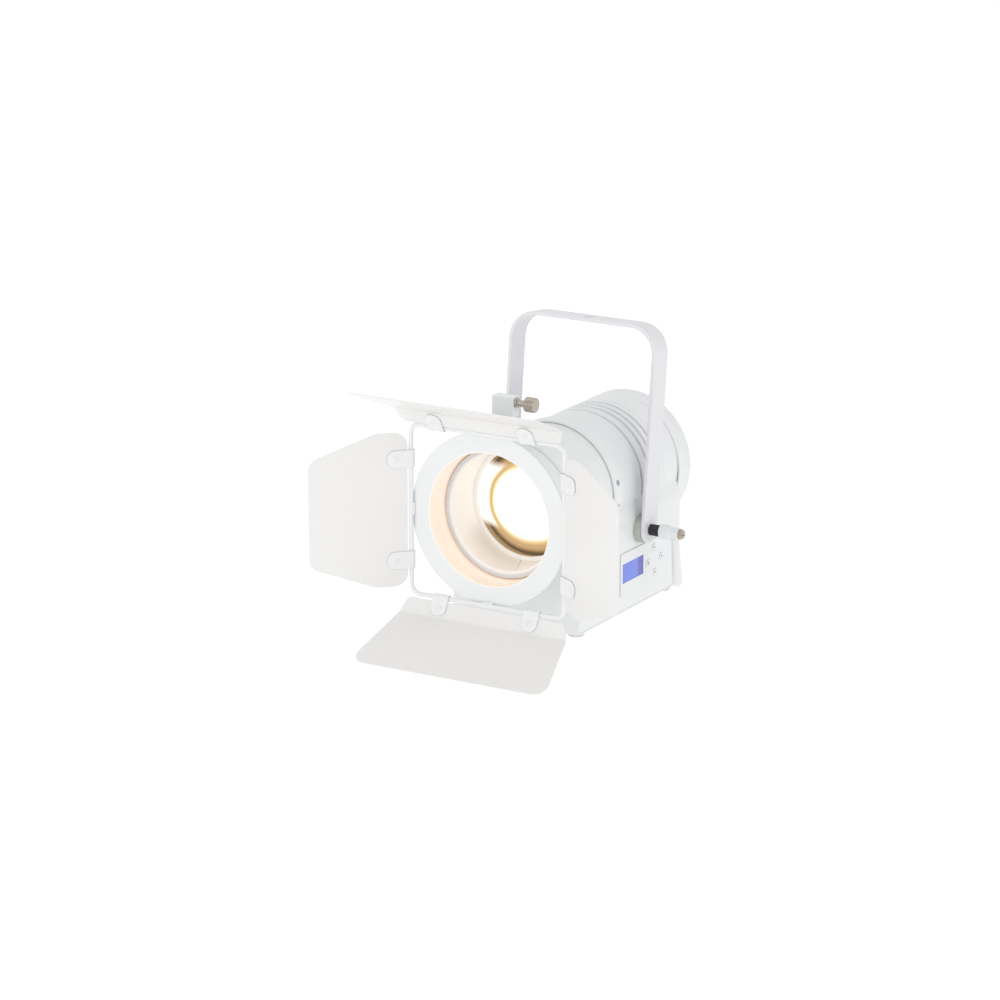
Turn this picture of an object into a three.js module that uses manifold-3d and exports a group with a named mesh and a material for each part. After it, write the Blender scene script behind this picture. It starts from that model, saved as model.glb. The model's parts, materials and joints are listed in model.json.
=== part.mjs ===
// A compact LED theatre spotlight with a plano-convex lens, four barn doors and a suspension yoke.
// Millimetres, +Z up. The lens looks along -Y and the display is on the +X side. The part's origin is the
// centre of the clamp-bolt hole on the outer face of the yoke's crossbar, which is where the lamp hangs.
// The head is modelled in its own frame: Y = 0 is the front face of the barn-door ring, and the lens axis
// is the line X = 0, Z = 0. Each moving piece stands in its rest position.

import * as THREE from "three";
import { mergeVertices } from "three/addons/utils/BufferGeometryUtils.js";
import Module from "manifold-3d";

const wasm = await Module();
wasm.setup();

// ---- Driving dimensions -------------------------------------------------------------------------------

const gap = 0.3; // air left between pieces that touch

const housing = {
  radius: 75, // of the round upper part
  halfWidth: 78, // of the flat-sided lower box
  shoulderTop: -14, // where the round part ends
  shoulderBottom: -28, // where the flat sides begin
  bottom: -129.6,
  front: 60.3,
  rear: 284,
  wall: 2.2,
};
const base = { bottom: -132, thickness: 2.1 };
const foot = { radius: 9.5, height: 5, x: 65, front: 74, rear: 268 };
const ribs = { front: 194, rear: 250, innerRadius: 68.6 };
const groove = { centres: [202, 218, 229.5, 241], width: 4.2, depth: 3.6 };
const band = { front: 136.5, rear: 153, innerRadius: 75.3, outerRadius: 78, endAngle: 10 };
const bezel = { front: 49, plateFront: 57, rear: 60, frontRadius: 77, rimRadius: 79, bore: 73.2 };
const frontTube = { front: 20.6, rear: 48.7, innerRadius: 73, outerRadius: 76.4 };
const holder = { front: 5, rear: 20.3, innerRadius: 79.2, outerRadius: 82, backWall: 2 };
const holderPost = { halfWidth: 8, front: 32.5, rear: 39, bottom: 76.8, top: 125 };
const holderTab = { front: 17, bottom: 79.4, top: 83 }; // joins the post to the holder
const latch = {
  halfWidth: 13,
  front: 29,
  rear: 42,
  bottom: 106,
  top: 128.5,
  tongueThickness: 2.4,
  legHalfWidth: 5,
  legFront: 9.4,
  legRear: 11.6,
  legBottom: 76.8,
  clearance: 0.4, // around the holder's post
};
const thumbScrew = {
  y: 35.6,
  z: 121.9,
  shankRadius: 2.5,
  boreRadius: 2.9,
  neckRadius: 5,
  headRadius: 8,
  headStart: 25,
  headEnd: 37,
};
const cap = { front: 284.3, rear: 314, radius: 77.5, z: -2.5, wall: 2.2, edgeRadius: 6 };
const capSeams = { at: [300, 305], depth: 0.9, halfWidth: 0.7 };
const vents = { count: 16, inner: 24, outer: 58, halfWidth: 2 };
const eye = { z: 66, rodRadius: 2.2 };

const lensTube = { front: 31, rear: 112, innerRadius: 64.6, outerRadius: 69.5, lipRadius: 2.4 };
const lensFlange = { radius: 71.8, width: 3 }; // round the front of the lens tube
const lens = { edgeRadius: 62, edgeFront: 80.4, edgeThickness: 7, sphereRadius: 104 };
const lensRing = { innerRadius: 59.4, outerRadius: 64.3, front: 77, rear: 80.1 };
const focus = { y: 94, forward: 12, backward: 30, shankRadius: 3.4, slotHalfHeight: 4.4, knobRadius: 9 };

const pivot = { y: 192, z: -45, shankRadius: 4, boreRadius: 4.4, discRadius: 15.5 };
const boss = { radius: 10, depth: 8 }; // inside the housing's walls, behind each pivot bore
const yoke = { halfWidth: 91, thickness: 4, strip: 30, reach: 223.5, cornerRadius: 32, tiltDegrees: 6.2 };
const boltHoleRadius = 6.5; // for an M12 clamp bolt
const spacer = { radius: 6.3, length: 12.7 };
const lever = { hubEnd: 127, hubRadius: 8, armTop: 3.8, armTip: 5.8, armStart: 8, length: 66, tipOffset: 4 };
const clampHead = { radius: 6, thickness: 5, slotDepth: 1.5, slotHalfWidth: 0.9 };
const hexHead = { radius: 7.5, thickness: 5.5 };

const ring = { outerRadius: 95, openingRadius: 73, thickness: 3, collarRadius: 78.8, collarRear: 16 };
const latchGroove = { radius: 75.6, front: 8.8, rear: 12.2 }; // round the ring's collar
const wire = { half: 94, radius: 2.5, cornerRadius: 11, y: -2.8 };
const sheet = 1.2; // thickness of the barn-door sheet and of its clips
const clip = { width: 19, sideLength: 27, wideLength: 20, boreRadius: 2.9, spacing: 56 };
const sideLeaf = { length: 112.4, rootHalf: 85, straight: 40, tipHalf: 58.5, rootRadius: 15, tipRadius: 9 };
const wideLeaf = {
  stripLength: 22.5,
  plateLength: 84,
  bendDegrees: 40,
  rootHalf: 96,
  bendHalf: 103,
  tipHalf: 120,
  cornerRadius: 18,
};
const openAngle = { left: 45, right: 60, top: 62, bottom: 66 }; // outward from the beam direction, degrees
const topLeafSlip = -5; // how far the top leaf has slid along its rod

const panel = { y0: 148, y1: 250, z0: -113, z1: -65, x: 78.3, thickness: 0.8 };
const display = { y0: 152, y1: 199, z0: -98.5, z1: -76.8 };
const buttons = { top: [222.5, -74.5], right: [239, -88.5], bottom: [225, -103.5], left: [208.5, -89.5] };
const button = { radius: 3.9, front: 80.2, back: 73, flangeRadius: 5, flangeFront: 75.4 };
const controlBoard = { x0: 66.4, x1: 68, y0: 146, y1: 250, z0: -120, z1: -64 };
const powerCase = { halfWidth: 45, front: 96, rear: 236, bottom: -127, top: -92, wall: 1.6 };

// ---- Materials ----------------------------------------------------------------------------------------

const finish = (color, roughness, metalness) =>
  new THREE.MeshStandardMaterial({ color, roughness, metalness });
const whitePaint = finish(0xeceded, 0.35, 0);
const doorPaint = finish(0xe9e8e5, 0.3, 0);
const innerPaint = finish(0xf2ece2, 0.45, 0);
const nickel = finish(0xb5ada2, 0.3, 1);
const steel = finish(0xa9acb0, 0.4, 1);
const blackPlastic = finish(0x141414, 0.5, 0);
const darkRubber = finish(0x22261f, 0.8, 0);
const paleRubber = finish(0xd4d4cf, 0.8, 0);
const glass = finish(0xfff6dc, 0.05, 0);
const aluminium = finish(0xc4c6c8, 0.45, 1);
const circuitGreen = finish(0x1f5a37, 0.6, 0);
const phosphor = finish(0xf6d96a, 0.6, 0);
const displayBlue = finish(0x4a5fe6, 0.2, 0);
const buttonGrey = finish(0xd9dadb, 0.5, 0);

// ---- Geometry helpers ---------------------------------------------------------------------------------

const degrees = (value) => (value * Math.PI) / 180;

function toSolid(geometry) {
  const bare = geometry.index ? geometry.toNonIndexed() : geometry.clone();
  bare.deleteAttribute("normal");
  bare.deleteAttribute("uv");
  const merged = mergeVertices(bare, 1e-4);
  return new wasm.Manifold(
    new wasm.Mesh({
      numProp: 3,
      vertProperties: merged.attributes.position.array,
      triVerts: new Uint32Array(merged.index.array),
    }),
  );
}

function toGeometry(solid) {
  const mesh = solid.getMesh();
  const geometry = new THREE.BufferGeometry();
  geometry.setAttribute("position", new THREE.BufferAttribute(new Float32Array(mesh.vertProperties), 3));
  geometry.setIndex(new THREE.BufferAttribute(new Uint32Array(mesh.triVerts), 1));
  geometry.computeVertexNormals();
  return geometry;
}

// first, less every other geometry given.
function cut(first, ...others) {
  return toGeometry(others.reduce((solid, other) => solid.subtract(toSolid(other)), toSolid(first)));
}

function join(first, ...others) {
  return toGeometry(others.reduce((solid, other) => solid.add(toSolid(other)), toSolid(first)));
}

function common(first, other) {
  return toGeometry(toSolid(first).intersect(toSolid(other)));
}

// A solid of revolution about Y from [radius, y] corners, listed so that the material is on the left.
function turned(corners, segments = 40) {
  const points = [...corners, corners[0]].map(([r, y]) => new THREE.Vector2(r, y));
  return new THREE.LatheGeometry(points, segments);
}

const sleeve = (inner, outer, y0, y1, segments = 40) =>
  turned([[inner, y0], [outer, y0], [outer, y1], [inner, y1]], segments);

// A disc or rod along Y, X or Z between two positions.
function rodY(radius, y0, y1, x = 0, z = 0, segments = 20) {
  return new THREE.CylinderGeometry(radius, radius, y1 - y0, segments).translate(x, (y0 + y1) / 2, z);
}

function rodX(radius, x0, x1, y, z, segments = 20) {
  return new THREE.CylinderGeometry(radius, radius, x1 - x0, segments)
    .rotateZ(-Math.PI / 2)
    .translate((x0 + x1) / 2, y, z);
}

function rodZ(radius, z0, z1, x, y, segments = 20) {
  return new THREE.CylinderGeometry(radius, radius, z1 - z0, segments)
    .rotateX(Math.PI / 2)
    .translate(x, y, (z0 + z1) / 2);
}

function tubeX(inner, outer, x0, x1, y, z, segments = 24) {
  return sleeve(inner, outer, x0, x1, segments)
    .rotateZ(-Math.PI / 2)
    .translate(0, y, z);
}

function block(x0, x1, y0, y1, z0, z1) {
  const box = new THREE.BoxGeometry(x1 - x0, y1 - y0, z1 - z0);
  return box.translate((x0 + x1) / 2, (y0 + y1) / 2, (z0 + z1) / 2);
}

function extruded(shape, depth, curveSegments = 4) {
  return new THREE.ExtrudeGeometry(shape, { depth, bevelEnabled: false, curveSegments, steps: 1 });
}

// An outline drawn in X and Z, extruded from y0 to y1.
const alongY = (shape, y0, y1, curveSegments) =>
  extruded(shape, y1 - y0, curveSegments).rotateX(Math.PI / 2).translate(0, y1, 0);

// An outline drawn in Y and Z, extruded from x0 to x1.
function alongX(shape, x0, x1, curveSegments) {
  const turn = new THREE.Matrix4().makeBasis(
    new THREE.Vector3(0, 1, 0),
    new THREE.Vector3(0, 0, 1),
    new THREE.Vector3(1, 0, 0),
  );
  return extruded(shape, x1 - x0, curveSegments).applyMatrix4(turn).translate(x0, 0, 0);
}

// A closed outline through corners [x, y, radius], each rounded to its radius.
function roundedOutline(corners) {
  const shape = new THREE.Shape();
  const count = corners.length;
  corners.forEach(([x, y, radius = 0], i) => {
    const here = new THREE.Vector2(x, y);
    const [beforeX, beforeY] = corners[(i + count - 1) % count];
    const [afterX, afterY] = corners[(i + 1) % count];
    const back = new THREE.Vector2(beforeX, beforeY).sub(here).normalize();
    const on = new THREE.Vector2(afterX, afterY).sub(here).normalize();
    const reach = radius / Math.tan(Math.acos(THREE.MathUtils.clamp(back.dot(on), -1, 1)) / 2);
    const start = here.clone().addScaledVector(back, reach);
    const end = here.clone().addScaledVector(on, reach);
    if (i === 0) shape.moveTo(start.x, start.y);
    else shape.lineTo(start.x, start.y);
    if (radius > 0) shape.quadraticCurveTo(here.x, here.y, end.x, end.y);
  });
  shape.closePath();
  return shape;
}

function rectangle(x0, x1, y0, y1, radius = 0) {
  return roundedOutline([[x0, y0, radius], [x1, y0, radius], [x1, y1, radius], [x0, y1, radius]]);
}

// The housing's section in X and Z: a round top on a flat-sided box, with a small shoulder between them.
function section(radius, halfWidth, bottom, cornerRadius = 0) {
  const start = Math.asin(housing.shoulderTop / radius);
  const shape = new THREE.Shape();
  shape.moveTo(halfWidth, bottom + cornerRadius);
  shape.lineTo(halfWidth, housing.shoulderBottom);
  shape.lineTo(radius * Math.cos(start), housing.shoulderTop);
  shape.absarc(0, 0, radius, start, Math.PI - start, false);
  shape.lineTo(-halfWidth, housing.shoulderBottom);
  shape.lineTo(-halfWidth, bottom + cornerRadius);
  if (cornerRadius > 0) shape.quadraticCurveTo(-halfWidth, bottom, -halfWidth + cornerRadius, bottom);
  shape.lineTo(halfWidth - cornerRadius, bottom);
  if (cornerRadius > 0) shape.quadraticCurveTo(halfWidth, bottom, halfWidth, bottom + cornerRadius);
  shape.closePath();
  return shape;
}

const head = new THREE.Group();
const hub = new THREE.Group(); // stands at the pivot, leaning with the yoke

function add(name, geometry, material, parent = head) {
  const mesh = new THREE.Mesh(geometry, material);
  mesh.name = name;
  parent.add(mesh);
  return mesh;
}

// ---- Housing, base and rear ---------------------------------------------------------------------------

function housingShell() {
  const open = housing.bottom - 10; // the cavity runs out through the underside
  const inside = housing.halfWidth - housing.wall;
  const cavity = (radius, y0, y1) => alongY(section(radius, inside, open), y0, y1, 20);
  const thin = housing.radius - housing.wall;
  const outline = section(housing.radius, housing.halfWidth, housing.bottom);
  const outer = alongY(outline, housing.front, housing.rear, 20);
  const hollow = join(
    cavity(thin, housing.front - 1, ribs.front),
    cavity(ribs.innerRadius, ribs.front - 1, ribs.rear + 1),
    cavity(thin, ribs.rear, housing.rear + 1),
  );
  const belowShoulder = block(-100, 100, ribs.front, ribs.rear, -100, housing.shoulderTop - 2);
  const { centres, width, depth } = groove;
  const grooves = centres.map((y) =>
    cut(sleeve(housing.radius - depth, housing.radius + 6, y - width / 2, y + width / 2), belowShoulder),
  );
  const bosses = [-1, 1].map((side) => {
    const wall = side * (housing.halfWidth - 1);
    const end = side * (housing.halfWidth - boss.depth);
    return rodX(boss.radius, Math.min(wall, end), Math.max(wall, end), pivot.y, pivot.z);
  });
  const pivotBore = rodX(pivot.boreRadius, -90, 90, pivot.y, pivot.z, 16);
  const { y0, y1, z0, z1 } = display;
  const window = alongX(rectangle(y0 - 1.5, y1 + 1.5, z0 - 1.5, z1 + 1.5), 70, 90);
  const buttonHoles = Object.values(buttons).map(([y, z]) => rodX(button.radius + gap, 70, 90, y, z, 14));
  const slot = alongX(
    rectangle(
      focus.y - focus.forward - focus.slotHalfHeight,
      focus.y + focus.backward + focus.slotHalfHeight,
      -focus.slotHalfHeight,
      focus.slotHalfHeight,
      focus.slotHalfHeight - 0.1,
    ),
    -90,
    -60,
  );
  return cut(join(cut(outer, hollow), ...bosses), ...grooves, pivotBore, window, ...buttonHoles, slot);
}

add("housing_shell", housingShell(), whitePaint);

function frontBezel() {
  const collar = turned([
    [bezel.bore, bezel.front],
    [bezel.frontRadius, bezel.front],
    [bezel.rimRadius, bezel.front + 3],
    [bezel.rimRadius, bezel.rear],
    [bezel.bore, bezel.rear],
  ]);
  const outline = section(housing.radius, housing.halfWidth, base.bottom, 3);
  const plate = alongY(outline, bezel.plateFront, bezel.rear, 20);
  const bore = rodY(bezel.bore, bezel.front - 1, bezel.rear + 1, 0, 0, 40);
  return join(cut(plate, bore), collar);
}

add("front_bezel", frontBezel(), whitePaint);

// The strap round the housing's top ends above the shoulders.
function flangeBand() {
  const end = degrees(band.endAngle);
  const shape = new THREE.Shape();
  shape.absarc(0, 0, band.outerRadius, -end, Math.PI + end, false);
  shape.absarc(0, 0, band.innerRadius, Math.PI + end, -end, true);
  shape.closePath();
  return alongY(shape, band.front, band.rear, 24);
}

add("flange_band", flangeBand(), whitePaint);

const baseTop = base.bottom + base.thickness;
add(
  "base_plate",
  block(-housing.halfWidth, housing.halfWidth, housing.front, housing.rear, base.bottom, baseTop),
  whitePaint,
);

for (const end of ["front", "rear"]) {
  for (const [side, sign] of [["left", -1], ["right", 1]]) {
    const top = base.bottom - gap;
    const pad = rodZ(foot.radius, top - foot.height, top, sign * foot.x, foot[end]);
    add(`foot_${end}_${side}`, pad, paleRubber);
  }
}

function rearCap() {
  const { front, rear, radius, wall, edgeRadius } = cap;
  const points = [[0, rear - wall], [radius - edgeRadius, rear - wall], [radius - wall, rear - edgeRadius]];
  points.push([radius - wall, front], [radius, front]);
  for (const y of capSeams.at) {
    const { depth, halfWidth } = capSeams;
    points.push([radius, y - halfWidth], [radius - depth, y], [radius, y + halfWidth]);
  }
  for (let i = 0; i <= 3; i += 1) {
    const angle = (i * Math.PI) / 6;
    points.push([radius - edgeRadius * (1 - Math.cos(angle)), rear - edgeRadius * (1 - Math.sin(angle))]);
  }
  points.push([0, rear]);
  const shell = new THREE.LatheGeometry(points.map(([r, y]) => new THREE.Vector2(r, y)), 40);
  const slots = Array.from({ length: vents.count }, (_, i) =>
    block(vents.inner, vents.outer, rear - wall - 2, rear + 1, -vents.halfWidth, vents.halfWidth).rotateY(
      (i * 2 * Math.PI) / vents.count,
    ),
  );
  return cut(shell, ...slots).translate(0, 0, cap.z);
}

add("rear_cap", rearCap(), whitePaint);

// ---- Rear panel and its sockets -----------------------------------------------------------------------

const rearPanel = { front: 280.6, rear: 282.8 };
const socket = { z: -105, front: 264, radius: 11.6, recessRadius: 9.5, recess: 10 };
const socketFlange = { halfWidth: 13, halfHeight: 15.5, thickness: 2.2, cornerRadius: 3 };
const sockets = { power_inlet: -56, power_outlet: -27, dmx_inlet: 2, dmx_outlet: 31 };
const fuse = { x: 57, radius: 6.5, rimRadius: 8.5, rim: 3.5 };

function rearPanelPlate() {
  const inside = housing.halfWidth - housing.wall - gap;
  const shape = section(housing.radius - housing.wall - gap, inside, base.bottom + base.thickness + gap);
  const holes = Object.values(sockets).map((x) => rodY(socket.radius + gap, 270, 290, x, socket.z, 16));
  const fuseHole = rodY(fuse.radius + gap, 270, 290, fuse.x, socket.z, 16);
  return cut(alongY(shape, rearPanel.front, rearPanel.rear, 20), ...holes, fuseHole);
}

add("rear_panel", rearPanelPlate(), whitePaint);

for (const [name, x] of Object.entries(sockets)) {
  const plate = rearPanel.rear + gap;
  const { halfWidth, halfHeight, thickness, cornerRadius } = socketFlange;
  const face = plate + thickness;
  const flange = alongY(
    rectangle(x - halfWidth, x + halfWidth, socket.z - halfHeight, socket.z + halfHeight, cornerRadius),
    plate,
    face,
  );
  const barrel = rodY(socket.radius, socket.front, plate + 1, x, socket.z, 16);
  const recess = rodY(socket.recessRadius, face - socket.recess, face + 2, x, socket.z, 16);
  add(name, cut(join(flange, barrel), recess), blackPlastic);
}

function fuseHolder() {
  const plate = rearPanel.rear + gap;
  return join(
    rodY(fuse.radius, socket.front, plate + 1, fuse.x, socket.z, 16),
    rodY(fuse.rimRadius, plate, plate + fuse.rim, fuse.x, socket.z, 16),
  );
}

add("fuse_holder", fuseHolder(), blackPlastic);

// A bent rod with both ends on the cap, for the safety cable's shackle.
function safetyEye() {
  const start = cap.rear + gap;
  const corners = [[-11, 0], [-11, 8], [-7, 12], [7, 12], [11, 8], [11, 0]];
  const points = corners.map(([x, reach]) => new THREE.Vector3(x, start + reach, eye.z));
  const extrudePath = new THREE.CatmullRomCurve3(points, false, "catmullrom", 0.2);
  const outline = new THREE.Shape().absarc(0, 0, eye.rodRadius, 0, 2 * Math.PI, false);
  return new THREE.ExtrudeGeometry(outline, { steps: 16, extrudePath, curveSegments: 4 });
}

add("safety_eye", safetyEye(), steel);

// ---- Control panel ------------------------------------------------------------------------------------

function controlPanel() {
  const { x, y0, y1, z0, z1, thickness } = panel;
  const plate = alongX(rectangle(y0, y1, z0, z1, 3), x, x + thickness);
  const window = alongX(rectangle(display.y0, display.y1, display.z0, display.z1), 70, 90);
  const holes = Object.values(buttons).map(([y, z]) => rodX(button.radius + gap, 70, 90, y, z, 14));
  return cut(plate, window, ...holes);
}

add("control_panel", controlPanel(), whitePaint);
add(
  "display_window",
  alongX(rectangle(display.y0 + gap, display.y1 - gap, display.z0 + gap, display.z1 - gap), 77, 78.8),
  displayBlue,
);
add(
  "display_module",
  alongX(rectangle(display.y0 - 1, display.y1 + 1, display.z0 - 1, display.z1 + 1), 71, 76.7),
  blackPlastic,
);
const { x0: boardX0, x1: boardX1, y0: boardY0, y1: boardY1, z0: boardZ0, z1: boardZ1 } = controlBoard;
add("control_board", block(boardX0, boardX1, boardY0, boardY1, boardZ0, boardZ1), circuitGreen);

for (const [place, [y, z]] of Object.entries(buttons)) {
  const plunger = join(
    rodX(button.radius, button.back, button.front, y, z, 20),
    rodX(button.flangeRadius, button.back, button.flangeFront, y, z, 20),
  );
  add(`button_${place}`, plunger, buttonGrey);
}

// ---- Light engine -------------------------------------------------------------------------------------

const engine = { emitterFront: 206, boardFront: 207.4, sinkFront: 209.7, sinkRear: 276, sinkRadius: 64 };
const emitterRadius = 11;
const boardRadius = 24;
const fins = { outermost: 54, pitch: 9, halfThickness: 1, baseThickness: 6 };
const cone = { front: 150, rear: 205.6, frontRadius: 62, rearRadius: 13.8, wall: 1.8 };

add("led_emitter", rodY(emitterRadius, engine.emitterFront, engine.boardFront - gap), phosphor);
add("led_board", rodY(boardRadius, engine.boardFront, engine.sinkFront - gap), aluminium);

function heatSink() {
  const { outermost, pitch, halfThickness, baseThickness } = fins;
  const finStart = engine.sinkFront + baseThickness - 1;
  const baseDisc = rodY(engine.sinkRadius, engine.sinkFront, engine.sinkFront + baseThickness, 0, 0, 36);
  const blades = [];
  for (let x = -outermost; x <= outermost; x += pitch) {
    const half = Math.sqrt(engine.sinkRadius ** 2 - (Math.abs(x) + halfThickness) ** 2) - 0.4;
    blades.push(block(x - halfThickness, x + halfThickness, finStart, engine.sinkRear, -half, half));
  }
  return join(baseDisc, ...blades);
}

add("heat_sink", heatSink(), aluminium);
add(
  "light_cone",
  turned(
    [
      [cone.frontRadius - cone.wall, cone.front],
      [cone.frontRadius, cone.front],
      [cone.rearRadius, cone.rear],
      [cone.rearRadius - cone.wall, cone.rear],
    ],
    36,
  ),
  aluminium,
);

// A sheet-metal case, open underneath.
function powerSupply() {
  const { halfWidth, front, rear, bottom, top, wall } = powerCase;
  const half = halfWidth - wall;
  const inside = block(-half, half, front + wall, rear - wall, bottom - 1, top - wall);
  return cut(block(-halfWidth, halfWidth, front, rear, bottom, top), inside);
}

add("power_supply", powerSupply(), steel);

// ---- Front tube, accessory holder and its latch -------------------------------------------------------

const { innerRadius: tubeInner, outerRadius: tubeOuter } = frontTube;
add("front_tube", sleeve(tubeInner, tubeOuter, frontTube.front, frontTube.rear), innerPaint);

function accessoryHolder() {
  const cup = turned([
    [frontTube.innerRadius, holder.rear - holder.backWall],
    [holder.innerRadius, holder.rear - holder.backWall],
    [holder.innerRadius, holder.front],
    [holder.outerRadius, holder.front],
    [holder.outerRadius, holder.rear],
    [frontTube.innerRadius, holder.rear],
  ]);
  const { halfWidth, front, rear, bottom, top } = holderPost;
  const post = block(-halfWidth, halfWidth, front, rear, bottom, top);
  const tab = block(-halfWidth, halfWidth, holderTab.front, rear, holderTab.bottom, holderTab.top);
  const slotHalf = latch.legHalfWidth + 2 * gap;
  const slot = block(-slotHalf, slotHalf, latchGroove.front, latchGroove.rear, holder.innerRadius - 9, 90);
  return cut(join(cup, tab, post), slot);
}

add("accessory_holder", accessoryHolder(), whitePaint);

function holderLatch() {
  const body = alongX(
    roundedOutline([
      [latch.front, latch.bottom, 0],
      [latch.rear, latch.bottom, 0],
      [latch.rear, latch.top, 2],
      [latch.front, latch.top, 2],
    ]),
    -latch.halfWidth,
    latch.halfWidth,
  );
  const { bottom, legHalfWidth, legFront, legRear, legBottom, clearance } = latch;
  const tongueHalf = holderPost.halfWidth;
  const tongueTop = bottom + latch.tongueThickness;
  const tongue = block(-tongueHalf, tongueHalf, legFront, latch.front + 1, bottom, tongueTop);
  const leg = block(-legHalfWidth, legHalfWidth, legFront, legRear, legBottom, bottom + 1);
  const pocketHalf = holderPost.halfWidth + clearance;
  const pocketTop = holderPost.top + 1.4;
  const pocketFront = holderPost.front - clearance;
  const pocketRear = holderPost.rear + clearance;
  const pocket = block(-pocketHalf, pocketHalf, pocketFront, pocketRear, bottom - 1, pocketTop);
  const screwBore = rodX(thumbScrew.boreRadius, 5, 20, thumbScrew.y, thumbScrew.z, 16);
  return cut(join(body, tongue, leg), pocket, screwBore);
}

add("holder_latch", holderLatch(), whitePaint);

function latchScrew() {
  const { y, z, shankRadius, neckRadius, headRadius, headStart, headEnd } = thumbScrew;
  const tip = holderPost.halfWidth + 2 * gap; // stands just off the post's side
  return join(
    rodX(shankRadius, tip, latch.halfWidth + 3, y, z, 16),
    rodX(neckRadius, latch.halfWidth + gap, headStart + 1, y, z, 16),
    rodX(headRadius, headStart, headEnd, y, z, 24),
  );
}

add("latch_thumb_screw", latchScrew(), nickel);

// ---- Focusing lens tube -------------------------------------------------------------------------------

function lensTubeBody() {
  const { front, rear, innerRadius, outerRadius, lipRadius } = lensTube;
  const corners = [
    [innerRadius, front + lipRadius],
    [innerRadius + 0.7, front + 0.7],
    [innerRadius + lipRadius, front],
    [lensFlange.radius - 0.8, front],
    [lensFlange.radius, front + 0.8],
    [lensFlange.radius, front + lensFlange.width],
    [outerRadius, front + lensFlange.width],
    [outerRadius, rear],
    [innerRadius, rear],
  ];
  return cut(turned(corners), rodX(focus.shankRadius + gap, -80, -60, focus.y, 0, 16));
}

add("lens_tube", lensTubeBody(), innerPaint);
const { innerRadius: ringInner, outerRadius: ringOuter } = lensRing;
add("lens_ring", sleeve(ringInner, ringOuter, lensRing.front, lensRing.rear), innerPaint);

// The convex face looks out of the tube.
function lensBody() {
  const rear = lens.edgeFront + lens.edgeThickness;
  const centreY = lens.edgeFront + Math.sqrt(lens.sphereRadius ** 2 - lens.edgeRadius ** 2);
  const apertureRadius = lensRing.innerRadius - 0.6;
  const points = [];
  for (let i = 0; i <= 5; i += 1) {
    const r = (apertureRadius * i) / 5;
    points.push(new THREE.Vector2(r, centreY - Math.sqrt(lens.sphereRadius ** 2 - r ** 2)));
  }
  points.push(new THREE.Vector2(apertureRadius, lens.edgeFront));
  points.push(new THREE.Vector2(lens.edgeRadius, lens.edgeFront));
  points.push(new THREE.Vector2(lens.edgeRadius, rear));
  points.push(new THREE.Vector2(0, rear));
  return new THREE.LatheGeometry(points, 36);
}

add("lens", lensBody(), glass);
add(
  "focus_knob",
  join(
    rodX(focus.knobRadius, -90, -77.6, focus.y, 0, 24),
    rodX(focus.shankRadius, -78, -65.6, focus.y, 0, 14),
  ),
  blackPlastic,
);

// ---- Yoke and its clamp -------------------------------------------------------------------------------

const discOuter = yoke.halfWidth - yoke.thickness - gap;
for (const [side, sign] of [["left", -1], ["right", 1]]) {
  const inner = housing.halfWidth + gap;
  const x0 = sign < 0 ? -discOuter : inner;
  const x1 = sign < 0 ? -inner : discOuter;
  add(`pivot_disc_${side}`, tubeX(pivot.boreRadius, pivot.discRadius, x0, x1, pivot.y, pivot.z), darkRubber);
}

// The yoke is drawn upright about the pivot and tilted by its group.
function yokeBracket() {
  const { halfWidth, thickness, strip, reach, cornerRadius } = yoke;
  const bottom = -strip / 2;
  const inner = halfWidth - thickness;
  const innerRadius = cornerRadius - thickness;
  const shape = new THREE.Shape();
  shape.moveTo(-halfWidth, bottom);
  shape.lineTo(-inner, bottom);
  shape.lineTo(-inner, reach - cornerRadius);
  shape.absarc(-inner + innerRadius, reach - cornerRadius, innerRadius, Math.PI, Math.PI / 2, true);
  shape.lineTo(inner - innerRadius, reach - thickness);
  shape.absarc(inner - innerRadius, reach - cornerRadius, innerRadius, Math.PI / 2, 0, true);
  shape.lineTo(inner, bottom);
  shape.lineTo(halfWidth, bottom);
  shape.lineTo(halfWidth, reach - cornerRadius);
  shape.absarc(halfWidth - cornerRadius, reach - cornerRadius, cornerRadius, 0, Math.PI / 2, false);
  shape.lineTo(-halfWidth + cornerRadius, reach);
  shape.absarc(-halfWidth + cornerRadius, reach - cornerRadius, cornerRadius, Math.PI / 2, Math.PI, false);
  shape.closePath();
  const bent = alongY(shape, -strip / 2, strip / 2, 8);
  const side = new THREE.Shape();
  side.absarc(0, 0, strip / 2, Math.PI, 2 * Math.PI, false);
  side.lineTo(strip / 2, reach + 10);
  side.lineTo(-strip / 2, reach + 10);
  side.closePath();
  const envelope = alongX(side, -halfWidth - 5, halfWidth + 5, 12);
  const bores = rodX(pivot.boreRadius, -halfWidth - 5, halfWidth + 5, 0, 0, 16);
  const boltHole = rodZ(boltHoleRadius, reach - 10, reach + 10, 0, 0);
  return cut(common(bent, envelope), bores, boltHole);
}

add("yoke_bracket", yokeBracket(), whitePaint, hub);

const shankEnd = 66; // how near the middle the two clamping screws reach

function leftPivotBolt() {
  const headStart = -yoke.halfWidth - gap;
  return join(
    rodX(hexHead.radius, headStart - hexHead.thickness, headStart, 0, 0, 6),
    rodX(pivot.shankRadius, headStart - 1, -shankEnd, 0, 0, 14),
  );
}

add("left_pivot_bolt", leftPivotBolt(), nickel, hub);

const spacerStart = yoke.halfWidth + gap;
const spacerEnd = spacerStart + spacer.length;
const spacerTube = tubeX(pivot.boreRadius, spacer.radius, spacerStart, spacerEnd, 0, 0, 20);
add("clamp_spacer", spacerTube, blackPlastic, hub);

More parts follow.
